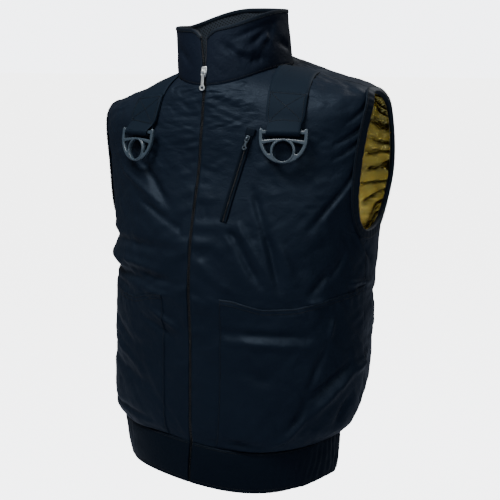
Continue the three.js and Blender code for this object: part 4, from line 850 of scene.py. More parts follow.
# Collar: a stand-up collar of the shell nylon with a dark spacer mesh inside and a narrow binding over the rim.
# It is soft, so it creases where it leans.
COLLAR_FRONT_HEIGHT, COLLAR_SIDE_HEIGHT, COLLAR_BACK_HEIGHT, COLLAR_RIGHT_DROP = 81, 82, 58, 14
COLLAR_TOP_WIDTH, COLLAR_TOP_FRONT_DEPTH, COLLAR_TOP_BACK_DEPTH, COLLAR_LEAN_RIGHT = 172, 85, 57, 7
COLLAR_CORNER_DROP, COLLAR_CORNER_DEG, COLLAR_MOUTH, SLIDER_RISE = 19, 16, 7, 0.32
COLLAR_PER_DEG, COLLAR_PER_RISE = 1.55, 78
COLLAR_FOLDS = (
    (19, 0.68, 44, 0.25, 6, -2.6, 0.7), (44, 0.25, 58, 0.2, 6, -2.2, 0.6), (30, 0.72, 76, 0.82, 5, -1.8, 0.6),
    (44, 0.52, 71, 0.75, 6, -2.4, 0.7), (71, 0.75, 58, 0.42, 6, -2.2, 0.6), (76, 0.45, 94, 0.28, 6, -2.2, 0.6),
    (26, 0.5, 52, 0.42, 7, 1.8, 0.4), (60, 0.6, 66, 0.5, 6, 1.8, 0.4), (108, 0.7, 130, 0.4, 7, -1.8, 0.6),
    (150, 0.6, 200, 0.55, 8, -1.6, 0.4), (225, 0.3, 252, 0.7, 7, -1.8, 0.6), (285, 0.3, 300, 0.75, 7, -2.2, 0.6),
    (318, 0.6, 340, 0.35, 7, -1.8, 0.6),
)


def collar_form(angle, rise):
    """A point of the collar, from its seam at rise 0 to its rim at rise 1."""
    angle, rise = grids(angle, rise)
    s, c = np.sin(angle), np.cos(angle)
    foot = body_form(angle, 0 * rise + 1)
    depth = np.where(c < 0, COLLAR_TOP_BACK_DEPTH, COLLAR_TOP_FRONT_DEPTH)
    end_height = np.where(c < 0, COLLAR_BACK_HEIGHT, COLLAR_FRONT_HEIGHT)
    turn = np.abs(wrapped(angle))
    corner = np.maximum(0, 1 - turn / (COLLAR_CORNER_DEG * DEG)) ** 2 * COLLAR_CORNER_DROP
    drop = np.where(s < 0, COLLAR_RIGHT_DROP * s * s, 0)
    height = COLLAR_SIDE_HEIGHT * s * s + end_height * c * c - corner - drop
    rim = np.stack([0.5 * COLLAR_TOP_WIDTH * s - COLLAR_LEAN_RIGHT, -depth * c, foot[..., 2] + height], -1)
    return foot * (1 - rise[..., None]) + rim * rise[..., None]


def mouth_at(rise):
    """Half the width to which the collar stands open above the slider."""
    return 0.5 * COLLAR_MOUTH * np.maximum(0, rise - SLIDER_RISE) / (1 - SLIDER_RISE)


def collar_rise(angle, rise):
    turned = np.mod(angle, 2 * math.pi) / DEG
    u, v = turned * COLLAR_PER_DEG, rise * COLLAR_PER_RISE
    from_zip = np.minimum(turned, 360 - turned)
    fade = smooth_step(np.minimum(from_zip / 12, np.minimum(rise / 0.12, (1 - rise) / 0.14)))
    folds = fold_rise(u, v, COLLAR_FOLDS, COLLAR_PER_DEG, COLLAR_PER_RISE)
    soft = 0.7 * wrinkles(u, v, 35, 50, 20, 131) + 0.3 * wrinkles(u, v, -50, 30, 10, 134)
    return 0.8 + fade * (folds + soft) + groove(v - 3) - 0.8 * (1 - smooth_step(rise / 0.05))


def collar_grid(from_zip, columns, rows=44):
    rises = np.linspace(0, 1, rows)[:, None]
    start = angle_across(collar_form, rises, from_zip + mouth_at(rises))
    return start + np.linspace(0, 1, columns)[None, :] * (2 * math.pi - 2 * start), rises


def collar_map(angle, rises):
    return map_of(angle / DEG * COLLAR_PER_DEG, rises * COLLAR_PER_RISE)


collar_cloth = cloth_material("collar_nylon", (0.0018, 0.0030, 0.0066), (0.0040, 0.0060, 0.0118), 0.55,
                              bump=0.35, specular=0.09)
angle, rises = collar_grid(ZIP_HALF_REVEAL, 380)
collar = cloth_sheet("collar_outside", collar_form, angle, rises, collar_rise(angle, rises),
                     collar_map(angle, rises), collar_cloth)
fit(collar, "vest", "collar_shell")


def mesh_material():
    """A dark spacer mesh with rows of small round holes, read from the cloth's map; the holes are painted near black
    as painted shade.
    """
    material, tree, shader = blank_material("spacer_mesh", Roughness=0.85, Specular_IOR_Level=0.15)
    place = node(tree, "ShaderNodeSeparateXYZ", Vector=cloth_map(tree))
    across = maths(tree, "SINE", maths(tree, "MULTIPLY", place.outputs["X"], 2 * math.pi / MESH_PITCH_ACROSS))
    up = maths(tree, "SINE", maths(tree, "MULTIPLY", place.outputs["Y"], 2 * math.pi / MESH_PITCH_UP))
    hole = maths(tree, "GREATER_THAN", maths(tree, "MULTIPLY", across, up), 0.35)
    raised_knit = maths(tree, "SUBTRACT", 1.0, hole)
    # The holes are painted near black as painted shade in their depth; the knit between them keeps the mesh's own
    # dark blue.
    paint(tree, shader, hole, (0.016, 0.022, 0.030), (0.001, 0.001, 0.0015), raised_knit, 0.7, 0.001)
    return material


MESH_PITCH_ACROSS, MESH_PITCH_UP = 6.0, 6.8
COLLAR_GAP, COLLAR_SLACK, MESH_THICKNESS = 0.9, 1.0, 2.2
MESH_BACK = CLOTH_THICKNESS + COLLAR_GAP + COLLAR_SLACK + MESH_THICKNESS
angle, rises = collar_grid(ZIP_HALF_REVEAL, 240, 30)
mesh_uv = collar_map(angle, rises)
mesh_rise = 0.5 * wrinkles(mesh_uv[..., 0], mesh_uv[..., 1], 60, 50, 20, 137) - MESH_BACK
inner = cloth_sheet("collar_inside", collar_form, angle[:, ::-1], rises, mesh_rise[:, ::-1], mesh_uv[:, ::-1],
                    mesh_material(), lip=-MESH_THICKNESS)
fit(inner, "vest", "collar_mesh")

BINDING_CLOTH = 1.2
binding_cloth = cloth_material("binding_twill", (0.0014, 0.0024, 0.0044), (0.0034, 0.0054, 0.0090), 0.6, thread=1.6,
                               crumple_share=0.4, bump=0.4, specular=0.12)


def binding_profile(width, top, bottom, cloth=BINDING_CLOTH):
    """A binding's outside in section: distances in from the edge, and heights off the cloth."""
    high, low, fold = top + cloth, bottom - cloth, -0.35 - cloth
    inward = [width, width, *np.linspace(0.92 * width, 0.1 * width, 7)]
    outward = [top, high - 0.3, *[high + 0.25 * math.sin(math.pi * t) for t in np.linspace(0, 1, 7)]]
    turns = np.linspace(0, math.pi, 9)
    middle, half = 0.5 * (high + low), 0.5 * (high - low)
    inward = inward + list(fold * np.sin(turns)) + inward[::-1]
    under = [low - (height - high) for height in outward[::-1][:-1]]
    outward = outward + list(middle + half * np.cos(turns)) + under + [bottom]
    return np.array(inward)[:, None], np.array(outward)[:, None]


def rim_points(angle, inward, outward):
    """Points at distances down from the collar's rim and out from its cloth."""
    down = unit(collar_form(angle, 0 * angle) - collar_form(angle, 0 * angle + 1))
    edge, out = collar_form(angle, 0 * angle + 1), normal_of(collar_form, angle, 0 * angle + 1)
    return edge + down * inward[..., None] + out * outward[..., None]


RIM_WIDTH, RIM_CLOTH, RIM_ROW, RIM_PER_RADIAN, COLLAR_FOOT_ROW = 5, 0.6, 4.1, 90, 3
rim_inward, rim_outward = binding_profile(RIM_WIDTH, 0.8, -MESH_BACK - 0.3, RIM_CLOTH)
rim_start = float(angle_across(collar_form, 1.0, ZIP_HALF_REVEAL + mouth_at(1.0)))
rim_angle = np.linspace(rim_start, 2 * math.pi - rim_start, 320)[None, :]
rim_grid = rim_points(*np.broadcast_arrays(rim_angle, rim_inward, rim_outward))
rim_uv = map_of(rim_angle * RIM_PER_RADIAN, rim_inward + rim_outward)
rim = grid_piece("collar_edge", rim_grid[::-1], rim_uv[::-1], binding_cloth)
fit(rim, "vest", "collar_rim")
foot_row = COLLAR_FOOT_ROW / COLLAR_PER_RISE
seam_line = np.linspace(0.06, 2 * math.pi - 0.06, 400)
rim_line = np.linspace(rim_start + 0.02, 2 * math.pi - rim_start - 0.02, 300)
rim_out = normal_of(collar_form, rim_line, 0 * rim_line + 1)
sewn("collar_stitching", [
    cloth_rail(collar_form, seam_line, foot_row, collar_rise(seam_line, foot_row) + 0.3),
    (rim_points(rim_line, 0 * rim_line + RIM_ROW, 0 * rim_line + 1.6), rim_out)], 141)


# Armhole bindings: a folded strip of twill round each armhole. It covers the raw edges of the shell and the foil
# lining, ripples a little where it is eased round, and is sewn down with one row.
BINDING_WIDTH, BINDING_GAP, BINDING_ROW = 12, 1.6, 2.5
LOOP_STEPS, LOOP_STEP, RIPPLES_ROUND = 300, 2.6, 60
turns = np.linspace(0, math.pi, 150)
ring_level = UNDERARM_LEVEL + (ARMHOLE_TOP_LEVEL - UNDERARM_LEVEL) * (0.5 - 0.5 * np.cos(turns))
hole_level = np.concatenate([ring_level, ring_level[-2:0:-1]])
hole_angle = np.concatenate([front_edge(ring_level), back_edge(ring_level[-2:0:-1])])


def even_loop(angle, level):
    """The armhole's edge at even steps."""
    points = body_form(angle, level)
    gaps = np.linalg.norm(np.diff(points, axis=0, append=points[:1]), axis=1)
    run = np.concatenate([[0], np.cumsum(gaps)])
    even = np.linspace(0, run[-1], LOOP_STEPS, endpoint=False)
    closed = lambda values: np.interp(even, run, np.append(values, values[0]))
    return closed(angle), closed(level)


def armhole_points(side, inward, outward):
    """Points at distances in from the armhole's edge and heights off the cloth, for each place round the loop."""
    angle, level = even_loop(hole_angle, hole_level)
    points = body_form(side * angle, level)
    along = unit(np.roll(points, -1, 0) - np.roll(points, 1, 0))
    inside = np.cross(along, normal_of(body_form, side * angle, level)) * -side
    step = 1e-3
    per_angle = (body_form(side * angle + step, level) - points) / step
    per_level = (body_form(side * angle, level + step) - points) / step
    out = np.cross(per_angle, per_level)
    size = (out * out).sum(-1)
    turn = (np.cross(inside, per_level) * out).sum(-1) / size
    climb = (np.cross(per_angle, inside) * out).sum(-1) / size
    points = raised(body_form, side * angle + turn * inward, level + climb * inward, outward + 0 * angle)
    return points, out / size[:, None] ** 0.5


for side_name, side in (("left", 1), ("right", -1)):
    inward, outward = binding_profile(BINDING_WIDTH, BINDING_GAP, -CLOTH_THICKNESS - BINDING_GAP)
    waves = np.sin(np.linspace(0, 2 * math.pi * RIPPLES_ROUND, LOOP_STEPS))
    ripple = 0.35 * waves * noise_at(np.linspace(0, 40, LOOP_STEPS), np.zeros(LOOP_STEPS), 151)
    grid = np.stack([armhole_points(side, float(i), float(o) + ripple * (o > 0))[0]
                     for i, o in zip(inward[:, 0], outward[:, 0])])
    grid = np.concatenate([grid, grid[:, :1]], 1)
    uv = map_of(np.arange(LOOP_STEPS + 1)[None, :] * LOOP_STEP, inward + outward)
    flip = slice(None, None, side)
    binding = grid_piece("armhole_edge_" + side_name, grid[flip], uv[flip], binding_cloth)
    fit(binding, "vest", "armhole_binding_" + side_name)
    row = armhole_points(side, BINDING_WIDTH - BINDING_ROW, BINDING_GAP + BINDING_CLOTH + 0.45)
    sewn("binding_stitching_" + side_name, [tuple(np.concatenate([part, part[:1]]) for part in row)], 161 + side)


# Main zip: two woven tapes under the front edges, moulded teeth and a cast slider with its pull. The collar
# stands open above the slider.
TAPE_WIDTH, TAPE_OVERLAP, TAPE_TOP, TAPE_ROW = 13, 0.15, -1.85, 3.1
TEETH_PITCH, TEETH_ACROSS, TEETH_TOP = 2.5, 1.15, -0.65
tape_cloth = cloth_material("zip_tape", (0.0010, 0.0014, 0.0022), (0.0022, 0.0030, 0.0044), 0.7, thread=1.1,
                            crumple_share=0.2, specular=0.1)


def zip_line(side, across, outward):
    """A line up the whole front at a distance from the middle, over the hem band, the body and the collar."""
    parts = []
    for form, rows in ((hem_form, np.linspace(0, 0.97, 16)), (body_form, np.linspace(0, 1, 180)),
                       (collar_form, np.linspace(0.03, 1, 30))):
        apart = across + (mouth_at(rows) if form is collar_form else 0)
        angle = side * angle_across(form, rows, apart)
        parts.append((raised(form, angle, rows, 0 * rows + outward), normal_of(form, angle, rows)))
    return tuple(np.concatenate(values) for values in zip(*parts))


EVEN = 0.02
tooth = rounded_bar(length=1.5, width=2.1, height=1.7, sides=8)
teeth_coat = plain_material("zip_teeth", (0.003, 0.0035, 0.0045), 0.35, grain=1.5, specular=0.25)
for side_name, side in (("left", 1), ("right", -1)):
    across = np.linspace(-TAPE_OVERLAP, TAPE_WIDTH, 9)
    columns = [zip_line(side, float(place), TAPE_TOP)[0] for place in across[::side]]
    grid = np.stack(columns, 1)
    uv = map_of(across[None, :], np.arange(len(grid))[:, None] * TAPE_ROW)
    tape = grid_piece("woven_tape_" + side_name, grid, uv, tape_cloth)
    fit(tape, "vest", "zip_tape_" + side_name)
    teeth = repeat_along("moulded_teeth_" + side_name, [zip_line(side, TEETH_ACROSS, TEETH_TOP)], tooth, TEETH_PITCH,
                         teeth_coat, 171 + side, EVEN)
    fit(teeth, "vest", "zip_teeth_" + side_name)


def frame_of(place, right, up):
    """A frame of axes: right, up along the cloth and out from it."""
    right, up = np.array(right, float), np.array(up, float)
    out = unit(np.cross(right, up))
    return np.stack([unit(right), unit(np.cross(out, right)), out], 1), np.array(place, float)


def arc(radius, start, end, count, centre=(0, 0)):
    turns = np.linspace(start, end, count)
    return [(centre[0] + radius * math.cos(t), centre[1] + radius * math.sin(t)) for t in turns]


def plate_points(outline, holes, thickness, bevel, axes=np.eye(3), shift=(0, 0, 0)):
    """Corners and faces of a flat plate with rounded edges, turned by axes and moved."""
    curve = bpy.data.curves.new("plate", "CURVE")
    curve.dimensions, curve.fill_mode = "2D", "BOTH"
    curve.extrude, curve.bevel_depth, curve.bevel_resolution, curve.offset = 0.5 * thickness - bevel, bevel, 2, -bevel
    for loop in (outline, *holes):
        spline = curve.splines.new("POLY")
        spline.points.add(len(loop) - 1)
        spline.points.foreach_set("co", [value for x, y in loop for value in (x, y, 0, 1)])
        spline.use_cyclic_u = True
    holder = placed("plate", curve)
    mesh = bpy.data.meshes.new_from_object(holder)
    corners = np.array([v.co for v in mesh.vertices]) @ np.asarray(axes).T + np.array(shift)
    faces = [tuple(face.vertices) for face in mesh.polygons]
    bpy.data.objects.remove(holder)
    bpy.data.curves.remove(curve)
    bpy.data.meshes.remove(mesh)
    return corners, faces


def solid_piece(name, parts, frame_axes, place, material):
    """One piece from several sets of corners and faces, put in place."""
    corners, faces = [], []
    for points, polygons in parts:
        first = len(corners)
        corners.extend(((points @ frame_axes.T + place) * MM).tolist())
        faces.extend(tuple(first + i for i in face) for face in polygons)
    mesh = bpy.data.meshes.new(name)
    mesh.from_pydata(corners, [], faces)
    mesh.materials.append(material)
    piece = placed(name, mesh)
    bpy.context.view_layer.objects.active = piece
    mesh.polygons.foreach_set("use_smooth", np.ones(len(mesh.polygons), bool))
    mesh.set_sharp_from_angle(angle=50 * DEG)
    return piece


STAND = np.array([[0, 0, 1], [1, 0, 0], [0, 1, 0]], float)


def slider_parts(length, width, thickness, pull_width, pull_thickness):
    """A tapered plate with an arch over it."""
    low, bar = 0.5 * length, 0.8 * pull_thickness
    arch_gap = math.hypot(pull_thickness, bar) + 0.7
    wall = 0.5 * thickness
    half, top = 0.5 * arch_gap + 1.3 * wall, thickness + arch_gap + wall
    body = [(-0.34 * width, -low), (0.34 * width, -low), (0.42 * width, -0.5 * low), (0.5 * width, 0.1 * length),
            (0.5 * width, 0.6 * low), (0.4 * width, low), (-0.4 * width, low), (-0.5 * width, 0.6 * low),
            (-0.5 * width, 0.1 * length), (-0.42 * width, -0.5 * low)]
    arch = [(-half, 0.5 * thickness), (half, 0.5 * thickness), (half, top - wall),
            (half - 0.4 * wall, top - 0.4 * wall), (half - wall, top), (wall - half, top),
            (0.4 * wall - half, top - 0.4 * wall), (-half, top - wall)]
    gap = [(-0.5 * arch_gap, thickness), (0.5 * arch_gap, thickness), (0.5 * arch_gap, top - wall),
           (-0.5 * arch_gap, top - wall)]
    plate = plate_points(body, [], thickness, 0.3 * thickness, shift=(0, 0, 0.5 * thickness))
    bridge = plate_points(arch, [gap], 0.26 * pull_width, 0.15 * wall, axes=STAND)
    return [plate, bridge], thickness + 0.5 * arch_gap, half, arch_gap, wall


def pull_parts(length, width, thickness, half, arch_gap, wall):
    """A flat pull with a slot round the arch and a round hole in its foot."""
    bar = 0.8 * thickness
    slot_half = 0.13 * width + 0.7
    slot_foot = -(math.hypot(half, 0.5 * arch_gap + wall) + 0.35)
    head, foot, neck = slot_half + 0.75 * thickness, -length + 0.5 * width, 0.24 * width
    outline = [(head, 0.5 * bar), (-head, 0.5 * bar), (-head, slot_foot - 0.5 * bar), (-neck, slot_foot - 2 * bar),
               (-neck, foot + 0.42 * width), *arc(0.5 * width, 0.86 * math.pi, 2.14 * math.pi, 28, (0, foot)),
               (neck, foot + 0.42 * width), (neck, slot_foot - 2 * bar), (head, slot_foot - 0.5 * bar)]
    slot = [(-slot_half, slot_foot), (slot_half, slot_foot), (slot_half, -0.5 * bar), (-slot_half, -0.5 * bar)]
    eye = arc(0.24 * width, 0, 1.93 * math.pi, 24, (0, foot))
    return [plate_points(outline, [slot, eye], thickness, 0.22 * thickness)]


def slider_with_pull(names, nodes, pull_body, slider_size, pull_size, axes, place, material):
    """A slider that is fixed on its zip, and the pull that swings in its arch."""
    parts, pivot_height, *arch_sizes = slider_parts(*slider_size, *pull_size[1:])
    fit(solid_piece(names[0], parts, axes, place, material), "vest", nodes[0])
    pivot = place + axes[:, 2] * pivot_height
    fit(solid_piece(names[1], pull_parts(*pull_size, *arch_sizes), axes, pivot, material), pull_body, nodes[1])


# Length, width and thickness of the main slider and pull.
MAIN_SLIDER, MAIN_PULL = (15, 9, 2), (28, 9, 2)
silver = plain_material("cast_zinc", (0.62, 0.64, 0.64), 0.34, metallic=0.9, grain=0.8, bump=0.08)
slider_at = raised(collar_form, 0.0, SLIDER_RISE, 0.65)
zip_up = collar_form(0.0, SLIDER_RISE + 0.1) - collar_form(0.0, SLIDER_RISE - 0.1)
slider_axes, slider_place = frame_of(slider_at, (1, 0, 0), zip_up)
slider_with_pull(("cast_slider", "cast_pull"), ("zip_slider", "zip_pull"), "main_pull",
                 MAIN_SLIDER, MAIN_PULL, slider_axes, slider_place, silver)


# Chest pocket zip: a slanted strip of tape with a coil on the wearer's left chest, a short cloth tab over its top
# end and a small slider with its pull.
CHEST_TOP, CHEST_FOOT = (80, 0.745), (50, 0.495)
CHEST_WIDTH_ACROSS, CHEST_LENGTH, CHEST_SLIDER_SHARE, TAB_WIDTH = 11, 140, 0.1, 14
COIL_PITCH, COIL_HEIGHT = 1.3, 1.5


def chest_at(share):
    """Places down the chest zip, with directions out of the cloth."""
    level = CHEST_TOP[1] + (CHEST_FOOT[1] - CHEST_TOP[1]) * np.asarray(share, float)
    across = CHEST_TOP[0] + (CHEST_FOOT[0] - CHEST_TOP[0]) * np.asarray(share, float)
    angle = np.arcsin(across / column_at("half", level))
    return body_form(angle, level), normal_of(body_form, angle, level)


chest_down = unit(chest_at(1.0)[0] - chest_at(0.0)[0])


def strip_across(points, out, shares, width, heights):
    """Rows of points across the chest zip's line, at shares of a width and at heights off the cloth."""
    beside = unit(np.cross(chest_down[None, :], out))
    return (points[:, None] + beside[:, None] * (shares * width)[None, :, None]
            + out[:, None] * heights[None, :, None])


chest_shares = np.linspace(0, 1, 120)
chest_points, chest_out = chest_at(chest_shares)
side_shares = np.array([-0.5, -0.5, -0.42, -0.16, -0.13, 0, 0.13, 0.16, 0.42, 0.5, 0.5])
heights = np.array([-0.6, 1.5, 2.3, 2.5, 1.3, 1.2, 1.3, 2.5, 2.3, 1.5, -0.6])
chest_grid = strip_across(chest_points, chest_out, side_shares, CHEST_WIDTH_ACROSS, heights)
chest_uv = map_of(side_shares * CHEST_WIDTH_ACROSS, chest_shares[:, None] * CHEST_LENGTH)
chest_zip = grid_piece("chest_zip_strip", chest_grid[::-1], chest_uv[::-1], band_cloth)
fit(chest_zip, "vest", "chest_zip")
coil = repeat_along("chest_zip_coil", [(chest_points + chest_out * COIL_HEIGHT, chest_out)],
                    rounded_bar(length=0.8, width=2.4, height=1.1), COIL_PITCH, teeth_coat, 181, EVEN)
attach(coil, "vest")
tab_rows = np.linspace(-0.045, 0.05, 16)
tab_points, tab_out = chest_at(tab_rows)
tab_shares = np.array([-0.5, -0.5, -0.4, 0, 0.4, 0.5, 0.5])
tab_heights = np.array([0, 2.6, 3.2, 3.3, 3.2, 2.6, 0])
tab_grid = strip_across(tab_points, tab_out, tab_shares, TAB_WIDTH, tab_heights)
tab_uv = map_of(tab_shares * TAB_WIDTH, tab_rows[:, None] * CHEST_LENGTH)
tab_grid = np.concatenate([tab_grid[:1] - tab_out[:1, None] * 3, tab_grid, tab_grid[-1:] - tab_out[-1:, None] * 2])
tab_uv = np.concatenate([tab_uv[:1], tab_uv, tab_uv[-1:]])
tab = grid_piece("chest_zip_tab", tab_grid[::-1], tab_uv[::-1], band_cloth)
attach(tab, "vest")

chest_place, chest_normal = chest_at(CHEST_SLIDER_SHARE)
chest_right = np.cross(chest_normal, chest_down)
chest_axes, chest_place = frame_of(chest_place, chest_right, -chest_down)
CHEST_SLIDER_LIFT, SMALL_SLIDER, SMALL_PULL = 3.7, (9, 6.5, 1.6), (17, 7, 1.6)
chest_place = chest_place + chest_axes[:, 2] * CHEST_SLIDER_LIFT
gunmetal = plain_material("dark_zinc", (0.05, 0.065, 0.08), 0.4, metallic=0.8, grain=0.8, bump=0.08)
slider_with_pull(("small_slider", "small_pull"), ("chest_slider", "chest_pull"), "chest_tab",
                 SMALL_SLIDER, SMALL_PULL, chest_axes, chest_place, gunmetal)


# Shoulder webbing: on each shoulder a wide woven strap runs from the shoulder seam down to a ring, goes round
# the ring's bar and comes up again in front, where its end is sewn down with a boxed cross.
WEBBING_WIDTH, WEBBING_THICKNESS, WEBBING_RETURN = 57, 1.7, 46
STRAP_GAP, RING_BAR_HEIGHT, RING_THICKNESS, RING_BAR_CLEARANCE, RING_STANDOFF = 0.9, 5.2, 5, 0.8, 1.5
LOOP_INSIDE = 0.5 * math.hypot(RING_BAR_HEIGHT, RING_THICKNESS) + RING_BAR_CLEARANCE
LOOP_OUTSIDE = LOOP_INSIDE + WEBBING_THICKNESS
RETURNED_FACE = 2 * WEBBING_THICKNESS + 0.35
STRAPS = (("left", 1, 14, 107, 91), ("right", -1, 17, 81, 97))


def cloth_height(x, y):
    """The height of the shell under places on the front of the shoulder."""
    x, y = np.atleast_1d(x)[:, None], np.atleast_1d(y)[:, None]
    levels = np.linspace(1, 0.5, 501)[None, :]
    heading = np.arctan2(x, -y) + 0 * levels
    angle = heading
    for _ in range(6):
        skin = body_form(angle, levels)
        angle = angle + heading - np.arctan2(skin[..., 0], -skin[..., 1])
    skin = body_form(angle, levels)
    reached = np.hypot(skin[..., 0], skin[..., 1]) >= np.hypot(x, y)
    reached[:, -1] = True
    return skin[np.arange(len(x)), reached.argmax(1), 2]


def taut_over(points):
    """The line that a taut strap takes over a row of places: its upper hull."""
    taut = []
    for point in points:
        while len(taut) > 1:
            (ax, az), (bx, bz) = taut[-2:]
            if (bx - ax) * (point[1] - az) - (bz - az) * (point[0] - ax) < 0:
                break
            taut.pop()
        taut.append(tuple(point))
    return np.array(taut)


def beside_row(row, distance):
    """A row of places moved square to itself."""
    row = np.asarray(row, float)
    before, after = np.vstack([row[:1], row[:-1]]), np.vstack([row[1:], row[-1:]])
    run = after - before
    length = np.hypot(run[:, 0], run[:, 1])
    return row + distance * np.stack([-run[:, 1], run[:, 0]], 1) / length[:, None]


STATION_COUNT, TURN_ROWS, JOIN_ROWS = 40, 12, 6
LOOP_NARROWING, LOOP_REACH = 0.14, 15


def joined(down, loop, up):
    """The strap's way down, round the bar and up again, with close rows where these meet."""
    shares = np.linspace(0, 1, JOIN_ROWS + 2)[1:-1, None]
    between = lambda a, b: a[-1] * (1 - shares) + b[0] * shares
    return np.vstack([down, between(down, loop), loop, between(loop, up), up])


webbing = cloth_material("webbing", (0.0024, 0.0046, 0.0082), (0.0054, 0.0092, 0.0150), 0.65, thread=2.2,
                         crumple_share=0.15, bump=0.5, specular=0.05)
plastic = plain_material("moulded_ring", (0.022, 0.034, 0.045), 0.4, grain=1.4, bump=0.1, specular=0.45)


def strap_piece(side_name, side, turn_deg, seam_x, bar_fall):
    """The strap as a closed ribbon, and its outer face for the stitching. Returns the bar's place as well."""
    turn = turn_deg * DEG
    across = np.array([math.cos(turn), side * math.sin(turn), 0])
    ahead = np.array([side * math.sin(turn), -math.cos(turn), 0])
    seam = np.array([side * seam_x, 0, 0], float)
    plan = lambda share, run: seam + ahead * run + across * share * WEBBING_WIDTH
    runs = np.arange(0, 130, 0.5)
    edge_lines = [cloth_height(*np.array([plan(share, run)[:2] for run in runs]).T) for share in (-0.5, 0, 0.5)]
    chest_run = runs[np.argmax(np.all(np.array(edge_lines) <= -bar_fall, axis=0))]
    bar_run = chest_run + LOOP_OUTSIDE + RING_STANDOFF
    stations = np.maximum(np.linspace(0, chest_run - 2, STATION_COUNT), 0.01)
    lines = np.linspace(-0.5, 0.5, 13)
    outer, inner = [], []
    for share in lines:
        sampled_runs = np.linspace(0, chest_run - 1, 25)
        places = np.array([plan(share, run)[:2] for run in sampled_runs])
        sampled = np.stack([sampled_runs, cloth_height(*places.T)], 1)
        taut = taut_over([*beside_row(sampled, STRAP_GAP), (bar_run - LOOP_OUTSIDE, -bar_fall)])
        row = np.stack([stations, np.interp(stations, taut[:, 0], taut[:, 1])], 1)
        row[1:-1, 1] = 0.25 * row[:-2, 1] + 0.5 * row[1:-1, 1] + 0.25 * row[2:, 1] + 0.15
        steps = np.hypot(*np.diff(row[::-1], axis=0).T)
        step_at = len(row) - 1 - int(np.searchsorted(np.cumsum(steps), WEBBING_RETURN)) - 1
        turned = lambda radius: np.array(arc(radius, -math.pi, 0.1 * math.pi, TURN_ROWS, (bar_run, -bar_fall)))
        returned = lambda height: beside_row(row, height)[step_at:][::-1]
        outer.append(joined(row, turned(LOOP_OUTSIDE), returned(RETURNED_FACE)))
        inner.append(joined(beside_row(row, WEBBING_THICKNESS), turned(LOOP_INSIDE),
                            returned(RETURNED_FACE - WEBBING_THICKNESS)))
    count = min(len(face) for face in outer)

    def grid_of(faces):
        points = []
        for share, face in zip(lines, faces):
            from_bar = np.hypot(face[:count, 0] - bar_run, face[:count, 1] + bar_fall)
            girth = 1 - LOOP_NARROWING * (1 - smooth_step((from_bar - LOOP_REACH) / 2.5))
            points.append(plan(0, 0) + across * (share * WEBBING_WIDTH * girth)[:, None]
                          + ahead * face[:count, :1] + [0, 0, 1] * face[:count, 1:])
        points = np.stack(points, 1)
        inside = np.hypot(points[..., 0] / (0.5 * NECK_WIDTH + 1), points[..., 1] / (NECK_FRONT_DEPTH + 1))
        points[..., :2] /= np.minimum(inside, 1)[..., None]
        return points

    front, behind = grid_of(outer), grid_of(inner)
    middle = 0.5 * (front + behind)
    loop = np.concatenate([front, middle[:, -1:] + across * 0.4, behind[:, ::-1], middle[:, :1] - across * 0.4,
                           front[:, :1]], 1)
    ends = [np.repeat(middle[row, 6:7][None], loop.shape[1], 1) for row in (0, -1)]
    loop = np.concatenate([ends[0], loop, ends[1]])
    u = np.concatenate([lines, [0.51], lines[::-1], [-0.51], lines[:1]]) * WEBBING_WIDTH
    v = np.concatenate([[0], np.cumsum(np.linalg.norm(np.diff(front[:, 6], axis=0), axis=1))])
    v = np.concatenate([[0, 0], v[1:], [v[-1]], [v[-1]]])[:len(loop)]
    uv = map_of(u[None, :], v[:, None])
    piece = grid_piece("shoulder_strap_" + side_name, loop, uv, webbing)
    fit(piece, "vest", "strap_" + side_name)
    return front, behind, count, seam + ahead * bar_run + [0, 0, -bar_fall], across


def on_face(front, behind, across_share, along_share, first, last):
    """Places on the strap's returned face: shares across it and up it, with directions out."""
    column = (np.asarray(across_share) + 0.5) * (front.shape[1] - 1)
    rows = np.arange(first, last + 1)
    steps = np.linalg.norm(np.diff(front[first:last + 1, 6], axis=0), axis=1)
    run = np.concatenate([[0], np.cumsum(steps)])
    row = np.interp(np.asarray(along_share) * run[-1], run, rows)
    column, row = np.broadcast_arrays(column, row)
    c0, r0 = np.clip(column.astype(int), 0, front.shape[1] - 2), np.clip(row.astype(int), 0, front.shape[0] - 2)
    cf, rf = (column - c0)[..., None], (row - r0)[..., None]
    pick = lambda grid: ((grid[r0, c0] * (1 - cf) + grid[r0, c0 + 1] * cf) * (1 - rf)
                         + (grid[r0 + 1, c0] * (1 - cf) + grid[r0 + 1, c0 + 1] * cf) * rf)
    out = unit(pick(front) - pick(behind))
    return pick(front) + out * 0.3, out


RING_WIDTH, RING_DROP, RING_BOW, RING_RIB = 71, 44, 5, 4
RING_EYE, RING_EAR_RISE, RING_SLOT, RING_TILT_DEG = 29, 5, 9, 9


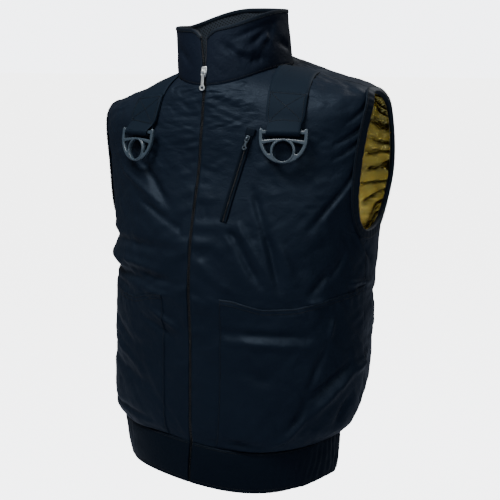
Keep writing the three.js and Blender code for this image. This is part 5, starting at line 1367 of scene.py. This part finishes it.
def ring_parts():
    """A ring in its plane: bar with ears, bow, rib, eye and two windows, with a raised rim round the eye."""
    half, bar_top, inside = 0.5 * RING_WIDTH, 0.5 * RING_BAR_HEIGHT, 0.5 * RING_WIDTH - RING_BOW
    bow_top = -0.9 * RING_SLOT
    fall = RING_DROP + bow_top
    bow = lambda inset, turn: ((half - inset) * math.cos(turn), bow_top - (fall - inset) * math.sin(turn))
    eye_z = -RING_DROP + 0.6 * RING_BOW + 0.5 * RING_EYE
    eye_outer = 0.5 * RING_EYE + RING_RIB
    ear = [(half, 0.55 * RING_EAR_RISE), (half - 0.08 * RING_BOW, 0.8 * RING_EAR_RISE),
           (half - 0.3 * RING_BOW, RING_EAR_RISE), (inside + 0.3 * RING_BOW, RING_EAR_RISE),
           (inside, 0.8 * RING_EAR_RISE), (inside - 0.2 * RING_BOW, bar_top)]
    far_ear = [(-x, z) for x, z in reversed(ear)]
    outline = [*ear, *far_ear, *[bow(0, t) for t in np.linspace(math.pi, 0, 44)]]
    shares = np.linspace(-1, 1, 15)
    rib_top = [(inside * x, -RING_SLOT * (1 + 0.25 * abs(x) ** 1.6)) for x in shares[::-1]]
    slot = [(-inside, -bar_top), (inside, -bar_top), *rib_top]
    circle = lambda radius: arc(radius, 0, 2 * math.pi * 39 / 40, 40, (0, eye_z))
    window = [*arc(eye_outer, 0.26 * math.pi, -0.07 * math.pi, 12, (0, eye_z)),
              *[bow(RING_BOW, share * math.pi) for share in np.linspace(0.26, 0.09, 12)]]
    mirrored = [(-x, z) for x, z in window]
    plate = plate_points(outline, [slot, circle(0.5 * RING_EYE), window, mirrored], RING_THICKNESS, 1.3)
    eye_rim = plate_points(circle(0.5 * RING_EYE + 2.6), [circle(0.5 * RING_EYE + 0.3)], RING_THICKNESS + 1.2, 0.5)
    return [plate, eye_rim]


for side_name, side, turn_deg, seam_x, bar_fall in STRAPS:
    front, behind, count, bar_place, across = strap_piece(side_name, side, turn_deg, seam_x, bar_fall)
    first, last = STATION_COUNT + JOIN_ROWS + TURN_ROWS - 1, count - 1
    side_share, low, high = 0.44, 0.3, 0.94
    corners = [(-side_share, low), (side_share, low), (side_share, high), (-side_share, high)]
    square, crosses = [*corners, corners[0]], [[corners[0], corners[2]], [corners[1], corners[3]]]
    rails = []
    for path in (square, *crosses):
        xs, zs = zip(*path)
        steps = np.linspace(0, len(path) - 1, 30 * (len(path) - 1) + 1)
        rails.append(on_face(front, behind, np.interp(steps, range(len(path)), xs),
                             np.interp(steps, range(len(path)), zs), first, last))
    sewn("strap_stitching_" + side_name, rails, 191 + side)
    up = np.array([0, 0, 1.0])
    tilt = -RING_TILT_DEG * DEG
    hang = np.array(Matrix.Rotation(tilt, 3, Vector(across)))
    ring_axes = hang @ np.stack([across, up, np.cross(across, up)], 1)
    ring = solid_piece("moulded_ring_" + side_name, ring_parts(), ring_axes, bar_place, plastic)
    fit(ring, side_name + "_ring", "ring_" + side_name)


# Studio: a plain pale floor and backdrop that glow to the camera alone, three soft lights, and a camera at the
# angle that the vest is seen from.
FLOOR_HALF, FLOOR_Z = 40.0, -0.9
floor_mesh = bpy.data.meshes.new("floor")
floor_mesh.from_pydata([(x * FLOOR_HALF, y * FLOOR_HALF, FLOOR_Z) for x, y in ((-1, -1), (1, -1), (1, 1), (-1, 1))],
                       [], [(0, 1, 2, 3)])
floor = placed("floor", floor_mesh)
floor_paint, floor_tree, floor_shader = blank_material(
    "floor_paint", Base_Color=(0.42, 0.48, 0.60, 1), Roughness=0.9, Emission_Color=(1, 1, 1, 1))
floor_seen = floor_tree.nodes.new("ShaderNodeLightPath")
floor_glow = maths(floor_tree, "MULTIPLY", floor_seen.outputs["Is Camera Ray"], 4.6)
floor_tree.links.new(floor_glow, floor_shader.inputs["Emission Strength"])
floor_mesh.materials.append(floor_paint)

world = bpy.data.worlds.new("studio")
bpy.context.scene.world = world
world.use_nodes = True
sky = world.node_tree.nodes["Background"]
sky.inputs["Color"].default_value = (0.93, 0.95, 1.0, 1)
seen = world.node_tree.nodes.new("ShaderNodeLightPath")
world.node_tree.links.new(
    maths(world.node_tree, "MULTIPLY_ADD", seen.outputs["Is Camera Ray"], 5.0, 0.15), sky.inputs["Strength"])


def soft_light(name, place, size, power, colour=(1, 1, 1)):
    lamp = bpy.data.lights.new(name, "AREA")
    lamp.size = size
    lamp.energy = power
    lamp.color = colour
    light = placed(name, lamp)
    light.location = place
    aim = np.array((0, 0, -0.25)) - np.array(place)
    light.rotation_euler = Vector(aim).to_track_quat("-Z", "Y").to_euler()


soft_light("key", (-0.25, -0.95, 1.3), 0.7, 62)
soft_light("fill", (1.3, -1.7, 0.8), 0.5, 20, (0.92, 0.96, 1.0))
soft_light("rim", (0.8, 1.8, 1.6), 1.2, 50)

CAMERA_AZ_DEG, CAMERA_EL_DEG, CAMERA_DISTANCE = 29.88, 8.51, 2.06
CAMERA_FOCAL_PX, FRAME_PX, SENSOR_MM = 1342, 500, 36
AIM_RIGHT, AIM_Z = 0.0182, -0.2805
az, el = CAMERA_AZ_DEG * DEG, CAMERA_EL_DEG * DEG
back = Vector((math.sin(az) * math.cos(el), -math.cos(az) * math.cos(el), math.sin(el)))
right = Vector((math.cos(az), math.sin(az), 0))
aim = right * AIM_RIGHT + Vector((0, 0, AIM_Z))
camera_data = bpy.data.cameras.new("camera")
camera_data.sensor_width = SENSOR_MM
camera_data.lens = CAMERA_FOCAL_PX / FRAME_PX * SENSOR_MM
camera = placed("camera", camera_data)
axes = Matrix((right, back.cross(right), back)).transposed().to_4x4()
axes.translation = aim + back * CAMERA_DISTANCE
camera.matrix_world = axes
bpy.context.scene.camera = camera
